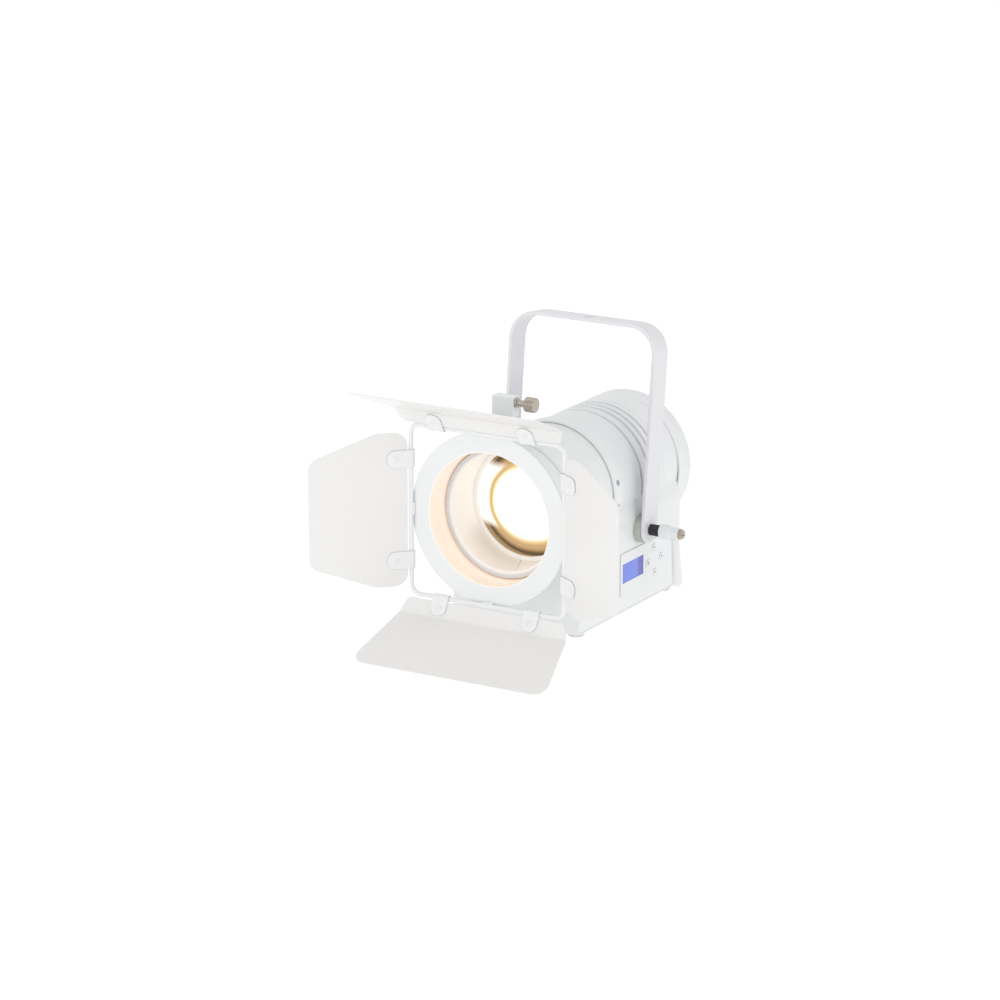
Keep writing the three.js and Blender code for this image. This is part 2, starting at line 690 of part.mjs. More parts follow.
// The clamp lever hangs straight down when the yoke is clamped.
function clampLever() {
  const hubStart = spacerEnd + gap;
  const barrel = sleeve(pivot.boreRadius, lever.hubRadius, hubStart, lever.hubEnd, 20).rotateZ(-Math.PI / 2);
  const { hubEnd, armTop, armTip, armStart, tipOffset } = lever;
  const rise = lever.length - armStart - 4;
  const arm = new THREE.CylinderGeometry(armTop, armTip, rise, 14)
    .rotateX(Math.PI / 2)
    .rotateY(-Math.atan(tipOffset / rise))
    .translate(hubEnd - 2, 0, -armStart - rise / 2);
  const tip = new THREE.SphereGeometry(armTip, 14, 8);
  tip.translate(hubEnd - 2 + tipOffset / 2, 0, -armStart - rise);
  const bore = rodX(pivot.boreRadius, hubStart - 5, hubEnd + 10, 0, 0, 16);
  return cut(join(barrel, arm, tip), bore);
}

const leverTurn = new THREE.Group();
leverTurn.rotation.x = degrees(yoke.tiltDegrees);
hub.add(leverTurn);
add("clamp_lever", clampLever(), whitePaint, leverTurn);

function clampScrew() {
  const start = lever.hubEnd + gap;
  const end = start + clampHead.thickness;
  const slotHalf = clampHead.slotHalfWidth;
  const slot = block(end - clampHead.slotDepth, end + 2, -8, 8, -slotHalf, slotHalf);
  const shank = rodX(pivot.shankRadius, shankEnd, start + 1, 0, 0, 14);
  return cut(join(rodX(clampHead.radius, start, end, 0, 0, 20), shank), slot);
}

add("clamp_screw", clampScrew(), nickel, leverTurn);

// ---- Barn doors ---------------------------------------------------------------------------------------

add(
  "barn_ring",
  turned(
    [
      [ring.openingRadius, 0],
      [ring.outerRadius, 0],
      [ring.outerRadius, ring.thickness],
      [ring.collarRadius, ring.thickness],
      [ring.collarRadius, latchGroove.front],
      [latchGroove.radius, latchGroove.front],
      [latchGroove.radius, latchGroove.rear],
      [ring.collarRadius, latchGroove.rear],
      [ring.collarRadius, ring.collarRear],
      [ring.openingRadius, ring.collarRear],
    ],
    48,
  ),
  whitePaint,
);

// A closed square of round wire with rounded corners, standing just in front of the ring.
function wireFrame() {
  const { half, radius, cornerRadius } = wire;
  const outer = roundedOutline(
    [[-1, -1], [1, -1], [1, 1], [-1, 1]].map(([x, y]) => [x * half, y * half, cornerRadius]),
  );
  const flat = outer.getSpacedPoints(64).slice(0, -1);
  const path = new THREE.CatmullRomCurve3(flat.map((p) => new THREE.Vector3(p.x, 0, p.y)), true, "chordal");
  const outline = new THREE.Shape().absarc(0, 0, radius, 0, 2 * Math.PI, false);
  const bent = new THREE.ExtrudeGeometry(outline, { steps: 64, extrudePath: path, curveSegments: 4 });
  return bent.translate(0, wire.y, 0);
}

add("wire_frame", wireFrame(), whitePaint);

// A leaf's own frame: X along its rod, Y away from the rod, Z towards the beam.
function leafGroup(position, away, inward) {
  const group = new THREE.Group();
  const along = new THREE.Vector3().crossVectors(away, inward);
  group.matrix.makeBasis(along, away, inward).setPosition(position);
  group.matrix.decompose(group.position, group.quaternion, group.scale);
  head.add(group);
  return group;
}

const leafBottom = 1.4; // the sheet's outer face, measured from the rod's centre towards the beam
const rootStart = clip.boreRadius + sheet + 0.4;

function leafClip(u, length) {
  const outer = clip.boreRadius + sheet;
  const hook = new THREE.Shape();
  hook.absarc(0, 0, outer, Math.PI / 2, degrees(320), false);
  hook.absarc(0, 0, clip.boreRadius, degrees(320), Math.PI / 2, true);
  hook.closePath();
  const tail = rectangle(-0.4, length, clip.boreRadius, outer);
  const from = u - clip.width / 2;
  const to = u + clip.width / 2;
  const plan = roundedOutline([
    [from, -10, 0],
    [to, -10, 0],
    [to, length, clip.width * 0.42],
    [from, length, clip.width * 0.42],
  ]);
  const bent = join(alongX(hook, from, to, 5), alongX(tail, from, to));
  return common(bent, extruded(plan, 20, 4).translate(0, 0, -10));
}

function sideLeafSheet() {
  const { length, rootHalf, straight, tipHalf, rootRadius, tipRadius } = sideLeaf;
  const right = [
    [rootHalf, rootStart, rootRadius],
    [rootHalf, straight, 4],
    [tipHalf, length, tipRadius],
  ];
  const left = right.map(([x, y, r]) => [-x, y, r]).reverse();
  return extruded(roundedOutline([...right, ...left]), sheet, 5).translate(0, 0, leafBottom);
}

function wideLeafSheet() {
  const { stripLength, plateLength, bendDegrees, rootHalf, bendHalf, tipHalf, cornerRadius } = wideLeaf;
  const middle = leafBottom + sheet / 2;
  const strip = roundedOutline([
    [rootHalf, rootStart, 5],
    [bendHalf, stripLength, 0],
    [-bendHalf, stripLength, 0],
    [-rootHalf, rootStart, 5],
  ]);
  const plate = roundedOutline([
    [bendHalf, 0, 0],
    [tipHalf, plateLength, cornerRadius],
    [-tipHalf, plateLength, cornerRadius],
    [-bendHalf, 0, 0],
  ]);
  return join(
    extruded(strip, sheet, 4).translate(0, 0, leafBottom),
    extruded(plate, sheet, 6)
      .translate(0, 0, -sheet / 2)
      .rotateX(degrees(bendDegrees))
      .translate(0, stripLength, middle),
    rodX(sheet / 2, -bendHalf, bendHalf, stripLength, middle, 10),
  );
}

const sides = {
  left: { outwards: new THREE.Vector3(-1, 0, 0), slip: 0, sheet: sideLeafSheet, tail: clip.sideLength },
  right: { outwards: new THREE.Vector3(1, 0, 0), slip: 0, sheet: sideLeafSheet, tail: clip.sideLength },
  top: { outwards: new THREE.Vector3(0, 0, 1), slip: topLeafSlip, sheet: wideLeafSheet, tail: clip.wideLength },
  bottom: { outwards: new THREE.Vector3(0, 0, -1), slip: 0, sheet: wideLeafSheet, tail: clip.wideLength },
};
const forwards = new THREE.Vector3(0, -1, 0);
for (const [name, leaf] of Object.entries(sides)) {
  const angle = degrees(openAngle[name]);
  const at = new THREE.Vector3(leaf.slip, wire.y, 0).addScaledVector(leaf.outwards, wire.half);
  const [across, along] = [Math.sin(angle), Math.cos(angle)];
  const away = forwards.clone().multiplyScalar(along).addScaledVector(leaf.outwards, across);
  const inward = forwards.clone().multiplyScalar(across).addScaledVector(leaf.outwards, -along);
  const group = leafGroup(at, away, inward);
  add(`leaf_${name}`, leaf.sheet(), doorPaint, group);
  add(`leaf_${name}_clip_a`, leafClip(-clip.spacing, leaf.tail), whitePaint, group);
  add(`leaf_${name}_clip_b`, leafClip(clip.spacing, leaf.tail), whitePaint, group);
}

// ---- Assembly -----------------------------------------------------------------------------------------

const tilt = degrees(yoke.tiltDegrees);
const hangY = pivot.y + yoke.reach * Math.sin(tilt);
const hangZ = pivot.z + yoke.reach * Math.cos(tilt);
head.position.set(0, -hangY, -hangZ);
hub.position.set(0, pivot.y - hangY, pivot.z - hangZ);
hub.rotation.x = -tilt;

const spotlight = new THREE.Group();
spotlight.add(hub);
spotlight.add(head);

export default spotlight;
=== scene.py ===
# %% [markdown]
# # A small theatre spotlight with barn doors
# This lesson dresses a finished CAD model of a stage lamp. The CAD parts are a fixed frame: they give every
# size and every joint. Each visible part is then modelled again with clean bevels and smooth curves, on the
# same spot, and rides on the body of the part that it stands for.

# %% Load the frame
import json
import math

import bmesh
import bpy
from bmesh.types import BMEdge, BMVert
from mathutils import Matrix, Vector


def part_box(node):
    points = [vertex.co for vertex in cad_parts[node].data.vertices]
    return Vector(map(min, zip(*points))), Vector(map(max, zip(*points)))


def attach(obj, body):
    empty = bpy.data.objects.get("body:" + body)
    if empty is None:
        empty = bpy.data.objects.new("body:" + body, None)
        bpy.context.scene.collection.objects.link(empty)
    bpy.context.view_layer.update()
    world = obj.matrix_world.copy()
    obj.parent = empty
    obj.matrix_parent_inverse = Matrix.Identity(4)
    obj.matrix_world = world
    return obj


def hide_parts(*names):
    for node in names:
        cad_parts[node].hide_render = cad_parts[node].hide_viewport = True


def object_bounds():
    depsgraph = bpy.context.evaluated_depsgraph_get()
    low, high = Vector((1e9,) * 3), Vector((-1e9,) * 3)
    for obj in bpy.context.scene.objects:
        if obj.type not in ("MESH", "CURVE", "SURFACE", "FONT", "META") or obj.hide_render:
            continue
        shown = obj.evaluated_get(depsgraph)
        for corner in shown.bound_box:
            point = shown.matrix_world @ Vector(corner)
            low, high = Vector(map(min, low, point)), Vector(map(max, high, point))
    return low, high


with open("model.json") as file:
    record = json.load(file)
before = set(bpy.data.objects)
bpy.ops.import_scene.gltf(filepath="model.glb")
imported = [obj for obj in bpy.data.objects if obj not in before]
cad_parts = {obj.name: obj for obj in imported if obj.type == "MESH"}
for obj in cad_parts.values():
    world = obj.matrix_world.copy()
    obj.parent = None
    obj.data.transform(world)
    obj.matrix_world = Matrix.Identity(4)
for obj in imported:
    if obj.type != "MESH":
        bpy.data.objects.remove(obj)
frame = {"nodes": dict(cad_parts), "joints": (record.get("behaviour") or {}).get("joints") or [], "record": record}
cad_low, cad_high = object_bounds()
print("CAD box in metres:", [round(side, 4) for side in cad_high - cad_low])

# %% [markdown]
# Lamps are drawn in millimetres, and Blender works in metres here. So each part is modelled in millimetres in
# a frame of its own, and a matrix places it. The head's frame has its origin on the lens axis, at the front
# face of the barn-door ring. The yoke's frame stands on the pivot and leans with the yoke.

# %% Frames of the head and the yoke
MM = 0.001
JOINTS = {joint["name"]: joint for joint in frame["joints"]}
ring_low, ring_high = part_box("barn_ring")
HEAD = Matrix.Translation((0, ring_low.y, (ring_low.z + ring_high.z) / 2)) @ Matrix.Scale(MM, 4)
hang_point = next(mount for mount in frame["record"]["mounts"] if mount["name"] == "hang_point")
yoke_tilt = math.atan2(hang_point["axis"][1], hang_point["axis"][2])
pivot_point = Vector(JOINTS["head_tilt"]["pos_m"])
PIVOT = Matrix.Translation(pivot_point) @ Matrix.Scale(MM, 4)
YOKE = Matrix.Translation(pivot_point) @ Matrix.Rotation(-yoke_tilt, 4, "X") @ Matrix.Scale(MM, 4)


def head_box(node):
    """Lowest and highest corner of a CAD node, in millimetres in the head's frame."""
    low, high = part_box(node)
    to_head = HEAD.inverted()
    return to_head @ low, to_head @ high


def middle(node):
    low, high = head_box(node)
    return (low + high) / 2


print("the yoke leans back by", round(math.degrees(yoke_tilt), 1), "degrees")

# %% [markdown]
# ## Finishes
# A real paint is never one flat colour. Every finish below starts from a Principled shader and adds patterns
# that read Object coordinates, so they stay on the part when it moves: a slow noise for slight shifts of
# colour and gloss, and a fine noise, through a Bump node, for the skin of the paint.

# %% Helpers for node patterns
def feed(node, values):
    """Gives each named socket of a node its value: a link from another node, or a plain number or colour."""
    for socket, value in values.items():
        if isinstance(value, bpy.types.NodeSocket):
            node.id_data.links.new(value, node.inputs[socket])
        else:
            node.inputs[socket].default_value = value
    return node


def add_node(tree, kind, values, **settings):
    node = tree.nodes.new(f"ShaderNode{kind}")
    for setting, value in settings.items():
        setattr(node, setting, value)
    return feed(node, values)


def new_finish(name):
    """A material with its Principled shader, ready for patterns."""
    material = bpy.data.materials.new(name)
    material.use_nodes = True
    return material, material.node_tree, material.node_tree.nodes["Principled BSDF"]


def object_point(tree, centre=(0, 0, 0), scale=(1, 1, 1)):
    """The place on the part, counted from a centre in metres, and scaled."""
    place = tree.nodes.new("ShaderNodeTexCoord").outputs["Object"]
    shifted = add_node(tree, "VectorMath", {0: place, 1: centre}, operation="SUBTRACT")
    stretched = add_node(tree, "VectorMath", {0: shifted.outputs["Vector"], 1: scale}, operation="MULTIPLY")
    return stretched.outputs["Vector"]


def noise(tree, scale, detail=2.0, stretch=(1, 1, 1)):
    place = object_point(tree, scale=stretch)
    return add_node(tree, "TexNoise", {"Scale": scale, "Detail": detail, "Vector": place}).outputs["Fac"]


def between(tree, factor, low, high):
    """Turns a pattern of 0 to 1 into numbers from low to high."""
    return add_node(tree, "MapRange", {"To Min": low, "To Max": high, "Value": factor}).outputs["Result"]


def between_numbers(tree, value, low, high):
    """Turns numbers from low to high into 0 to 1."""
    return add_node(tree, "MapRange", {"From Min": low, "From Max": high, "Value": value}).outputs["Result"]


def two_numbers(tree, operation, first, second):
    return add_node(tree, "Math", {0: first, 1: second}, operation=operation).outputs["Value"]


def two_colours(tree, factor, first, second):
    mix = add_node(tree, "Mix", {"Factor": factor}, data_type="RGBA")
    for socket, colour in (("A_Color", first), ("B_Color", second)):
        number = next(i for i, entry in enumerate(mix.inputs) if entry.identifier == socket)
        feed(mix, {number: (*colour, 1) if isinstance(colour, tuple) else colour})
    return next(entry for entry in mix.outputs if entry.identifier == "Result_Color")


def skin(tree, shader, height, depth, strength=1.0):
    """A relief: depth is in millimetres."""
    bump = add_node(tree, "Bump", {"Strength": strength, "Distance": depth * MM, "Height": height})
    feed(shader, {"Normal": bump.outputs["Normal"]})


def ramp(tree, factor, stops):
    """A colour ramp from (position, colour) stops."""
    node = add_node(tree, "ValToRGB", {"Fac": factor})
    elements = node.color_ramp.elements
    while len(elements) < len(stops):
        elements.new(1.0)
    for element, (position, colour) in zip(elements, stops):
        element.position = position
        element.color = (*colour, 1)
    return node.outputs["Color"]


# %% [markdown]
# Powder paint flows out almost level and keeps a faint orange-peel skin, about a millimetre from hill to hill.
# The same recipe gives the housing's cool white, the yoke's greyer white and the doors' warmer and glossier
# white.

# %% Paints
PEEL_SCALE, PEEL_STRENGTH, COAT_ROUGHNESS = 900, 0.35, 0.12


def powder_paint(name, light, shade, roughness, peel_depth, coat):
    material, tree, shader = new_finish(name)
    feed(shader, {
        "Base Color": two_colours(tree, noise(tree, 16, 3), shade, light),
        "Roughness": between(tree, noise(tree, 60), roughness - 0.04, roughness + 0.06),
        "Coat Weight": coat,
        "Coat Roughness": COAT_ROUGHNESS,
    })
    skin(tree, shader, noise(tree, PEEL_SCALE, 1.0), peel_depth, PEEL_STRENGTH)
    return material


COOL_WHITE = (0.815, 0.825, 0.83)
white_paint = powder_paint("white_paint", COOL_WHITE, (0.79, 0.802, 0.81), 0.32, 0.02, 0.25)
yoke_paint = powder_paint("yoke_paint", (0.755, 0.757, 0.782), (0.735, 0.737, 0.762), 0.32, 0.02, 0.25)
door_paint = powder_paint("door_paint", (0.80, 0.795, 0.785), (0.785, 0.78, 0.77), 0.22, 0.008, 0.3)


# %% [markdown]
# The lamp is on, so the walls round the beam catch stray light, and that light is painted into their paint.
# The paint measures the distance from the lens axis: inside the wall's radius it has a faint painted glow and a
# warmer painted tone; outside it is plain white, and on the lens tube's rim a greyer colour that is painted
# shade. The painted glow fades over the rounded lip of the tube.

# %% Walls with painted light from the lens
def ellipse_distance(tree, centre, half_width, half_height):
    """1 on an ellipse square to the lens axis, 0 at its centre. The centre is in millimetres from the axis."""
    place = HEAD @ Vector((centre[0], 0, centre[1]))
    point = object_point(tree, tuple(place), (1 / (half_width * MM), 0, 1 / (half_height * MM)))
    return add_node(tree, "VectorMath", {0: point}, operation="LENGTH").outputs["Value"]


def lit_paint(name, wall_radius, fade, glow, colour=(0.83, 0.81, 0.775), white=COOL_WHITE):
    """White paint with painted light: inside a radius in millimetres a warmer tone and a faint glow, glow being that
    painted light; beyond the radius the colour white, which on the lens tube's rim is a greyer painted shade.
    """
    material, tree, shader = new_finish(name)
    from_axis = ellipse_distance(tree, (0, 0), 1, 1)
    # 0 inside the wall's radius, where the glow and the warm tone are painted, and 1 beyond it.
    out_of_painted_glow = between_numbers(tree, from_axis, wall_radius, wall_radius + fade)
    clouds = noise(tree, 16, 3)
    # The first tone is the painted warm light; the second is the colour beyond the wall, painted shade on the lens
    # tube's rim.
    painted_warm_light, outer_paint_and_shade = (
        two_colours(tree, clouds, tuple(part * 0.97 for part in tone), tone) for tone in (colour, white)
    )
    feed(shader, {
        "Base Color": two_colours(tree, out_of_painted_glow, painted_warm_light, outer_paint_and_shade),
        "Emission Color": two_colours(tree, out_of_painted_glow, glow, (0, 0, 0)),
        "Emission Strength": 1,
        "Roughness": between(tree, noise(tree, 60), 0.3, 0.4),
        "Coat Weight": 0.2,
        "Coat Roughness": COAT_ROUGHNESS,
    })
    skin(tree, shader, noise(tree, PEEL_SCALE, 1.0), 0.02, PEEL_STRENGTH)
    return material


# The warm tone and the faint glow of these walls are painted light from the lens.
ring_paint_painted_glow = lit_paint("ring_paint_painted_glow", 73.5, 0.6, (0.24, 0.145, 0.08))
tube_paint_painted_glow = lit_paint("tube_paint_painted_glow", 73.6, 0.8, (0.30, 0.19, 0.115))
# On the lens tube the last colour, beyond its wall, is a greyer painted shade on its rim.
inner_paint = lit_paint("inner_paint", 64.9, 3.5, (0.15, 0.135, 0.12), (0.84, 0.83, 0.81), (0.67, 0.69, 0.72))

# %% [markdown]
# Metals and plastics follow. Turned nickel and zinc have fine lines round their axis, which a noise stretched
# along one axis gives. Moulded plastic has a fine grain, rubber a coarser one.

# %% Metals, plastics and rubber
def plated_metal(name, light, dark, roughness, stretch=(1, 1, 1)):
    material, tree, shader = new_finish(name)
    lines = noise(tree, 260, 3, stretch)
    feed(shader, {
        "Base Color": two_colours(tree, lines, dark, light),
        "Roughness": between(tree, lines, roughness - 0.08, roughness + 0.1),
        "Metallic": 1.0,
    })
    skin(tree, shader, lines, 0.02, 0.3)
    return material


def moulded(name, light, dark, roughness, grain=1500, depth=0.03):
    material, tree, shader = new_finish(name)
    feed(shader, {
        "Base Color": two_colours(tree, noise(tree, 90, 4), dark, light),
        "Roughness": between(tree, noise(tree, 300), roughness - 0.06, roughness + 0.08),
    })
    skin(tree, shader, noise(tree, grain), depth, 0.4)
    return material


nickel = plated_metal("nickel", (0.60, 0.54, 0.47), (0.40, 0.35, 0.30), 0.26, (4, 1, 1))
steel = plated_metal("zinc_steel", (0.62, 0.64, 0.66), (0.45, 0.47, 0.49), 0.36)
bare_aluminium = plated_metal("bare_aluminium", (0.78, 0.79, 0.80), (0.62, 0.63, 0.64), 0.4, (1, 6, 1))
black_plastic = moulded("black_plastic", (0.022, 0.022, 0.023), (0.012, 0.012, 0.013), 0.45)
friction_rubber = moulded("friction_rubber", (0.49, 0.53, 0.46), (0.41, 0.45, 0.38), 0.6, 1100)
foot_rubber = moulded("foot_rubber", (0.62, 0.63, 0.58), (0.52, 0.53, 0.48), 0.6, 1100)
button_plastic = moulded("button_plastic", (0.80, 0.81, 0.82), (0.76, 0.77, 0.78), 0.4)
print_ink = moulded("print_ink", (0.34, 0.34, 0.36), (0.27, 0.27, 0.29), 0.5)

# %% [markdown]
# The circuit board is green solder mask with copper traces under it: a fine brick pattern stands for the
# traces. The emitter is a yellow phosphor with a grid of dies.

# %% Electronics
def circuit_board():
    material, tree, shader = new_finish("circuit_board")
    green = {"Color1": (0.02, 0.16, 0.07, 1), "Color2": (0.03, 0.22, 0.10, 1), "Mortar": (0.01, 0.09, 0.04, 1)}
    traces = add_node(tree, "TexBrick", {"Scale": 90, "Vector": object_point(tree), **green})
    feed(shader, {"Base Color": traces.outputs["Color"], "Roughness": 0.35})
    skin(tree, shader, traces.outputs["Fac"], 0.03)
    return material


def phosphor():
    material, tree, shader = new_finish("phosphor")
    dies = add_node(tree, "TexVoronoi", {"Scale": 400, "Vector": object_point(tree)})
    glow = two_colours(tree, dies.outputs["Distance"], (1.0, 0.86, 0.42), (0.95, 0.62, 0.16))
    feed(shader, {"Base Color": glow, "Emission Color": glow, "Emission Strength": 2.0, "Roughness": 0.6})
    return material


board_green = circuit_board()
emitter_glow = phosphor()

# %% [markdown]
# ## Modelling helpers
# Most of the lamp is turned, folded or punched sheet, so three ways of making a shape do nearly all the work.
# `turned` spins an outline round an axis. `plate` fills a flat outline with holes and gives it thickness.
# `bent_bar` pushes a section along straight stretches and spins it round corners, as a bending machine does.
# `soften` then bevels each sharp edge, because no real edge is perfectly sharp and the bevel catches light.

# %% Beveling
def moved(bm, matrix):
    bmesh.ops.transform(bm, matrix=matrix, verts=bm.verts[:])


def kind_of(parts, kind):
    """The verts or the edges among the parts that an operator gives back."""
    return [part for part in parts if isinstance(part, kind)]


def close_ends(bm):
    bmesh.ops.holes_fill(bm, edges=[edge for edge in bm.edges if edge.is_boundary])


def full_turn(bm, steps):
    """Turns everything once round the Y axis."""
    everything = bm.verts[:] + bm.edges[:]
    bmesh.ops.spin(
        bm, geom=everything, cent=(0, 0, 0), axis=(0, 1, 0), angle=2 * math.pi, steps=steps, use_merge=True
    )



def bevel(bm, geom, reach, segments, affect="EDGES"):
    return bmesh.ops.bevel(
        bm,
        geom=geom,
        offset=reach,
        offset_type="OFFSET",
        segments=segments,
        profile=0.5,
        affect=affect,
        clamp_overlap=True,
        material=-1,
    )


def soften(bm, width, segments=2, sharper_than=40):
    limit = math.radians(sharper_than)
    sharp = [edge for edge in bm.edges if edge.is_manifold and edge.calc_face_angle(0) > limit]
    bevel(bm, sharp, width, segments)


# %% Turned shapes
AXES = {
    "X": Matrix.Rotation(-math.pi / 2, 4, "Z"),
    "Y": Matrix.Identity(4),
    "Z": Matrix.Rotation(math.pi / 2, 4, "X"),
}


def turned(corners, rounding=0.4, steps=96, axis="Y", at=(0, 0, 0)):
    """A solid of revolution from a closed outline of (radius, along) or (radius, along, rounding) corners."""
    bm = bmesh.new()
    verts = [bm.verts.new((corner[0], corner[1], 0)) for corner in corners]
    bm.faces.new(verts)
    for vert, corner in zip(verts, corners):
        own = corner[2] if len(corner) > 2 else rounding
        if corner[0] > 0 and own > 0:
            bevel(bm, [vert], own, 3 if own < 2 else 8, "VERTICES")
    bmesh.ops.delete(bm, geom=bm.faces[:], context="FACES_ONLY")
    on_axis = [edge for edge in bm.edges if all(vert.co.x < 1e-6 for vert in edge.verts)]
    bmesh.ops.delete(bm, geom=on_axis, context="EDGES")
    full_turn(bm, steps)
    bmesh.ops.remove_doubles(bm, verts=bm.verts[:], dist=1e-4)
    moved(bm, Matrix.Translation(at) @ AXES[axis])
    return bm


# %% Flat shapes
def outline(bm, corners, segments=8):
    """A closed flat outline of (x, y, rounding) corners."""
    verts = [bm.verts.new((x, y, 0)) for x, y, _ in corners]
    bm.faces.new(verts)
    for vert, (_, _, rounding) in zip(verts, corners):
        if rounding > 0:
            bevel(bm, [vert], rounding, segments, "VERTICES")
    bmesh.ops.delete(bm, geom=bm.faces[:], context="FACES_ONLY")


def circle(bm, x, y, radius, segments=32):
    bmesh.ops.create_circle(bm, radius=radius, segments=segments, matrix=Matrix.Translation((x, y, 0)))


def rectangle(x0, x1, y0, y1, rounding=0.0):
    return [(x0, y0, rounding), (x1, y0, rounding), (x1, y1, rounding), (x0, y1, rounding)]


def thicken(bm, thickness):
    grown = bmesh.ops.extrude_face_region(bm, geom=bm.faces[:])["geom"]
    risen = kind_of(grown, BMVert)
    bmesh.ops.translate(bm, vec=(0, 0, thickness), verts=risen)
    bmesh.ops.recalc_face_normals(bm, faces=bm.faces[:])


# Looking along Y from the front: the plate's X is the lamp's X, its Y is the lamp's Z.
FACING_Y = Matrix.Rotation(math.pi / 2, 4, "X")
# Looking along -X from the panel's side: the plate's X is the lamp's Y, its Y is the lamp's Z.
FACING_X = Matrix(((0, 0, 1, 0), (1, 0, 0, 0), (0, 1, 0, 0), (0, 0, 0, 1)))


def plate(outer, thickness, holes=(), rectangles=(), edge=0.3, turn=FACING_X, offset=(0, 0, 0)):
    """A punched plate. Holes are (x, y, radius), rectangles are outlines."""
    bm = bmesh.new()
    outline(bm, outer)
    for corners in rectangles:
        outline(bm, corners)
    for x, y, radius in holes:
        circle(bm, x, y, radius)
    bmesh.ops.triangle_fill(bm, edges=bm.edges[:], use_beauty=True)
    thicken(bm, thickness)
    if edge > 0:
        soften(bm, edge)
    moved(bm, Matrix.Translation(offset) @ turn)
    return bm


def block(low, high, edge=0.5, segments=3):
    """A box between two corners, with its edges rounded."""
    bm = bmesh.new()
    bmesh.ops.create_cube(bm, size=1)
    size = Vector(high) - Vector(low)
    bmesh.ops.scale(bm, vec=size, verts=bm.verts[:])
    bmesh.ops.translate(bm, vec=(Vector(low) + Vector(high)) / 2, verts=bm.verts[:])
    if edge > 0:
        bevel(bm, bm.edges[:], edge, segments)
    return bm


# %% Bent bars and rods
def bent_bar(bm, edges, start, heading, moves):
    """Pushes a loop of edges along. A move is a distance, or (radius, angle in degrees, axis) for a corner."""
    place, direction = Vector(start), Vector(heading).normalized()
    for move in moves:
        if isinstance(move, tuple):
            radius, angle, axis = move
            axis = Vector(axis)
            centre = place + axis.cross(direction) * radius
            turn = Matrix.Rotation(math.radians(angle), 3, axis)
            result = bmesh.ops.spin(
                bm,
                geom=edges + list({vert for edge in edges for vert in edge.verts}),
                cent=centre,
                axis=axis,
                angle=math.radians(angle),
                steps=10,
            )
            edges = kind_of(result["geom_last"], BMEdge)
            place = centre + turn @ (place - centre)
            direction = turn @ direction
        else:
            grown = bmesh.ops.extrude_edge_only(bm, edges=edges)["geom"]
            ahead = kind_of(grown, BMVert)
            bmesh.ops.translate(bm, vec=direction * move, verts=ahead)
            edges = [edge for edge in kind_of(grown, BMEdge) if all(vert in ahead for vert in edge.verts)]
            place = place + direction * move
    return edges


def round_loop(bm, radius, centre, facing, segments=16):
    """A circle of edges round a centre, square to a direction."""
    turn = Vector(facing).to_track_quat("Z", "Y").to_matrix().to_4x4()
    made = bmesh.ops.create_circle(
        bm, radius=radius, segments=segments, matrix=Matrix.Translation(centre) @ turn
    )
    return list({edge for vert in made["verts"] for edge in vert.link_edges})


# %% [markdown]
# A cut-out is a boolean: the cutter is a throw-away solid, and the cut mesh is read back at once, so that no
# modifier and no hidden object stays behind. `piece` ends every shape: it merges doubled points, turns the
# faces outwards, places the mesh, shades it smooth up to its sharp edges, and hides the CAD part it replaces.

# %% Cutting and finishing
def as_object(name, bm):
    mesh = bpy.data.meshes.new(name)
    bm.to_mesh(mesh)
    made = bpy.data.objects.new(name, mesh)
    bpy.context.scene.collection.objects.link(made)
    return made


def cut_out(bm, cutter, operation="DIFFERENCE"):
    """bm less the cutter, or joined with it. Both are used up."""
    for shape in (bm, cutter):
        bmesh.ops.recalc_face_normals(shape, faces=shape.faces[:])
    body, tool = as_object("body", bm), as_object("tool", cutter)
    boolean = body.modifiers.new("cut", "BOOLEAN")
    boolean.operation = operation
    boolean.solver = "EXACT"
    boolean.object = tool
    seen = body.evaluated_get(bpy.context.evaluated_depsgraph_get())
    result = bmesh.new()
    result.from_mesh(seen.to_mesh())
    seen.to_mesh_clear()
    for used in (body, tool):
        data = used.data
        bpy.data.objects.remove(used)
        bpy.data.meshes.remove(data)
    for used in (bm, cutter):
        used.free()
    return result


def together(*shapes):
    """Several bmeshes as one."""
    joined = bmesh.new()
    for shape in shapes:
        mesh = bpy.data.meshes.new("part")
        shape.to_mesh(mesh)
        joined.from_mesh(mesh)
        bpy.data.meshes.remove(mesh)
        shape.free()
    return joined


def piece(name, bm, body, finish, replaces=(), place=HEAD, weld=True, sharper_than=32):
    if weld:
        bmesh.ops.remove_doubles(bm, verts=bm.verts[:], dist=1e-4)
    bmesh.ops.recalc_face_normals(bm, faces=bm.faces[:])
    moved(bm, place)
    made = as_object(name, bm)
    bm.free()
    made.data.materials.append(finish)
    made.data.shade_smooth()
    made.data.set_sharp_from_angle(angle=math.radians(sharper_than))
    weighted = made.modifiers.new("flat faces stay flat", "WEIGHTED_NORMAL")
    weighted.keep_sharp = True
    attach(made, body)
    if replaces:
        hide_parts(*replaces)
    return made

# %% [markdown]
# ## Camera, floor and light
# The camera looks down on the lamp from the front and the right, from far away with a long lens, so that the
# lamp keeps its proportions. The lamp hangs by its yoke, well above a pale floor. A white room lights it from
# all sides, and two soft boxes give the faces slightly different values, so that white on white still reads.

# %% Camera
AZIMUTH = math.radians(30.54)
ELEVATION = math.radians(15.85)
CAMERA_DISTANCE = 4.226
CAMERA_RIGHT, CAMERA_UP = 0.01226, 0.02134
FOCAL_LENGTH, SENSOR_WIDTH = 144, 36

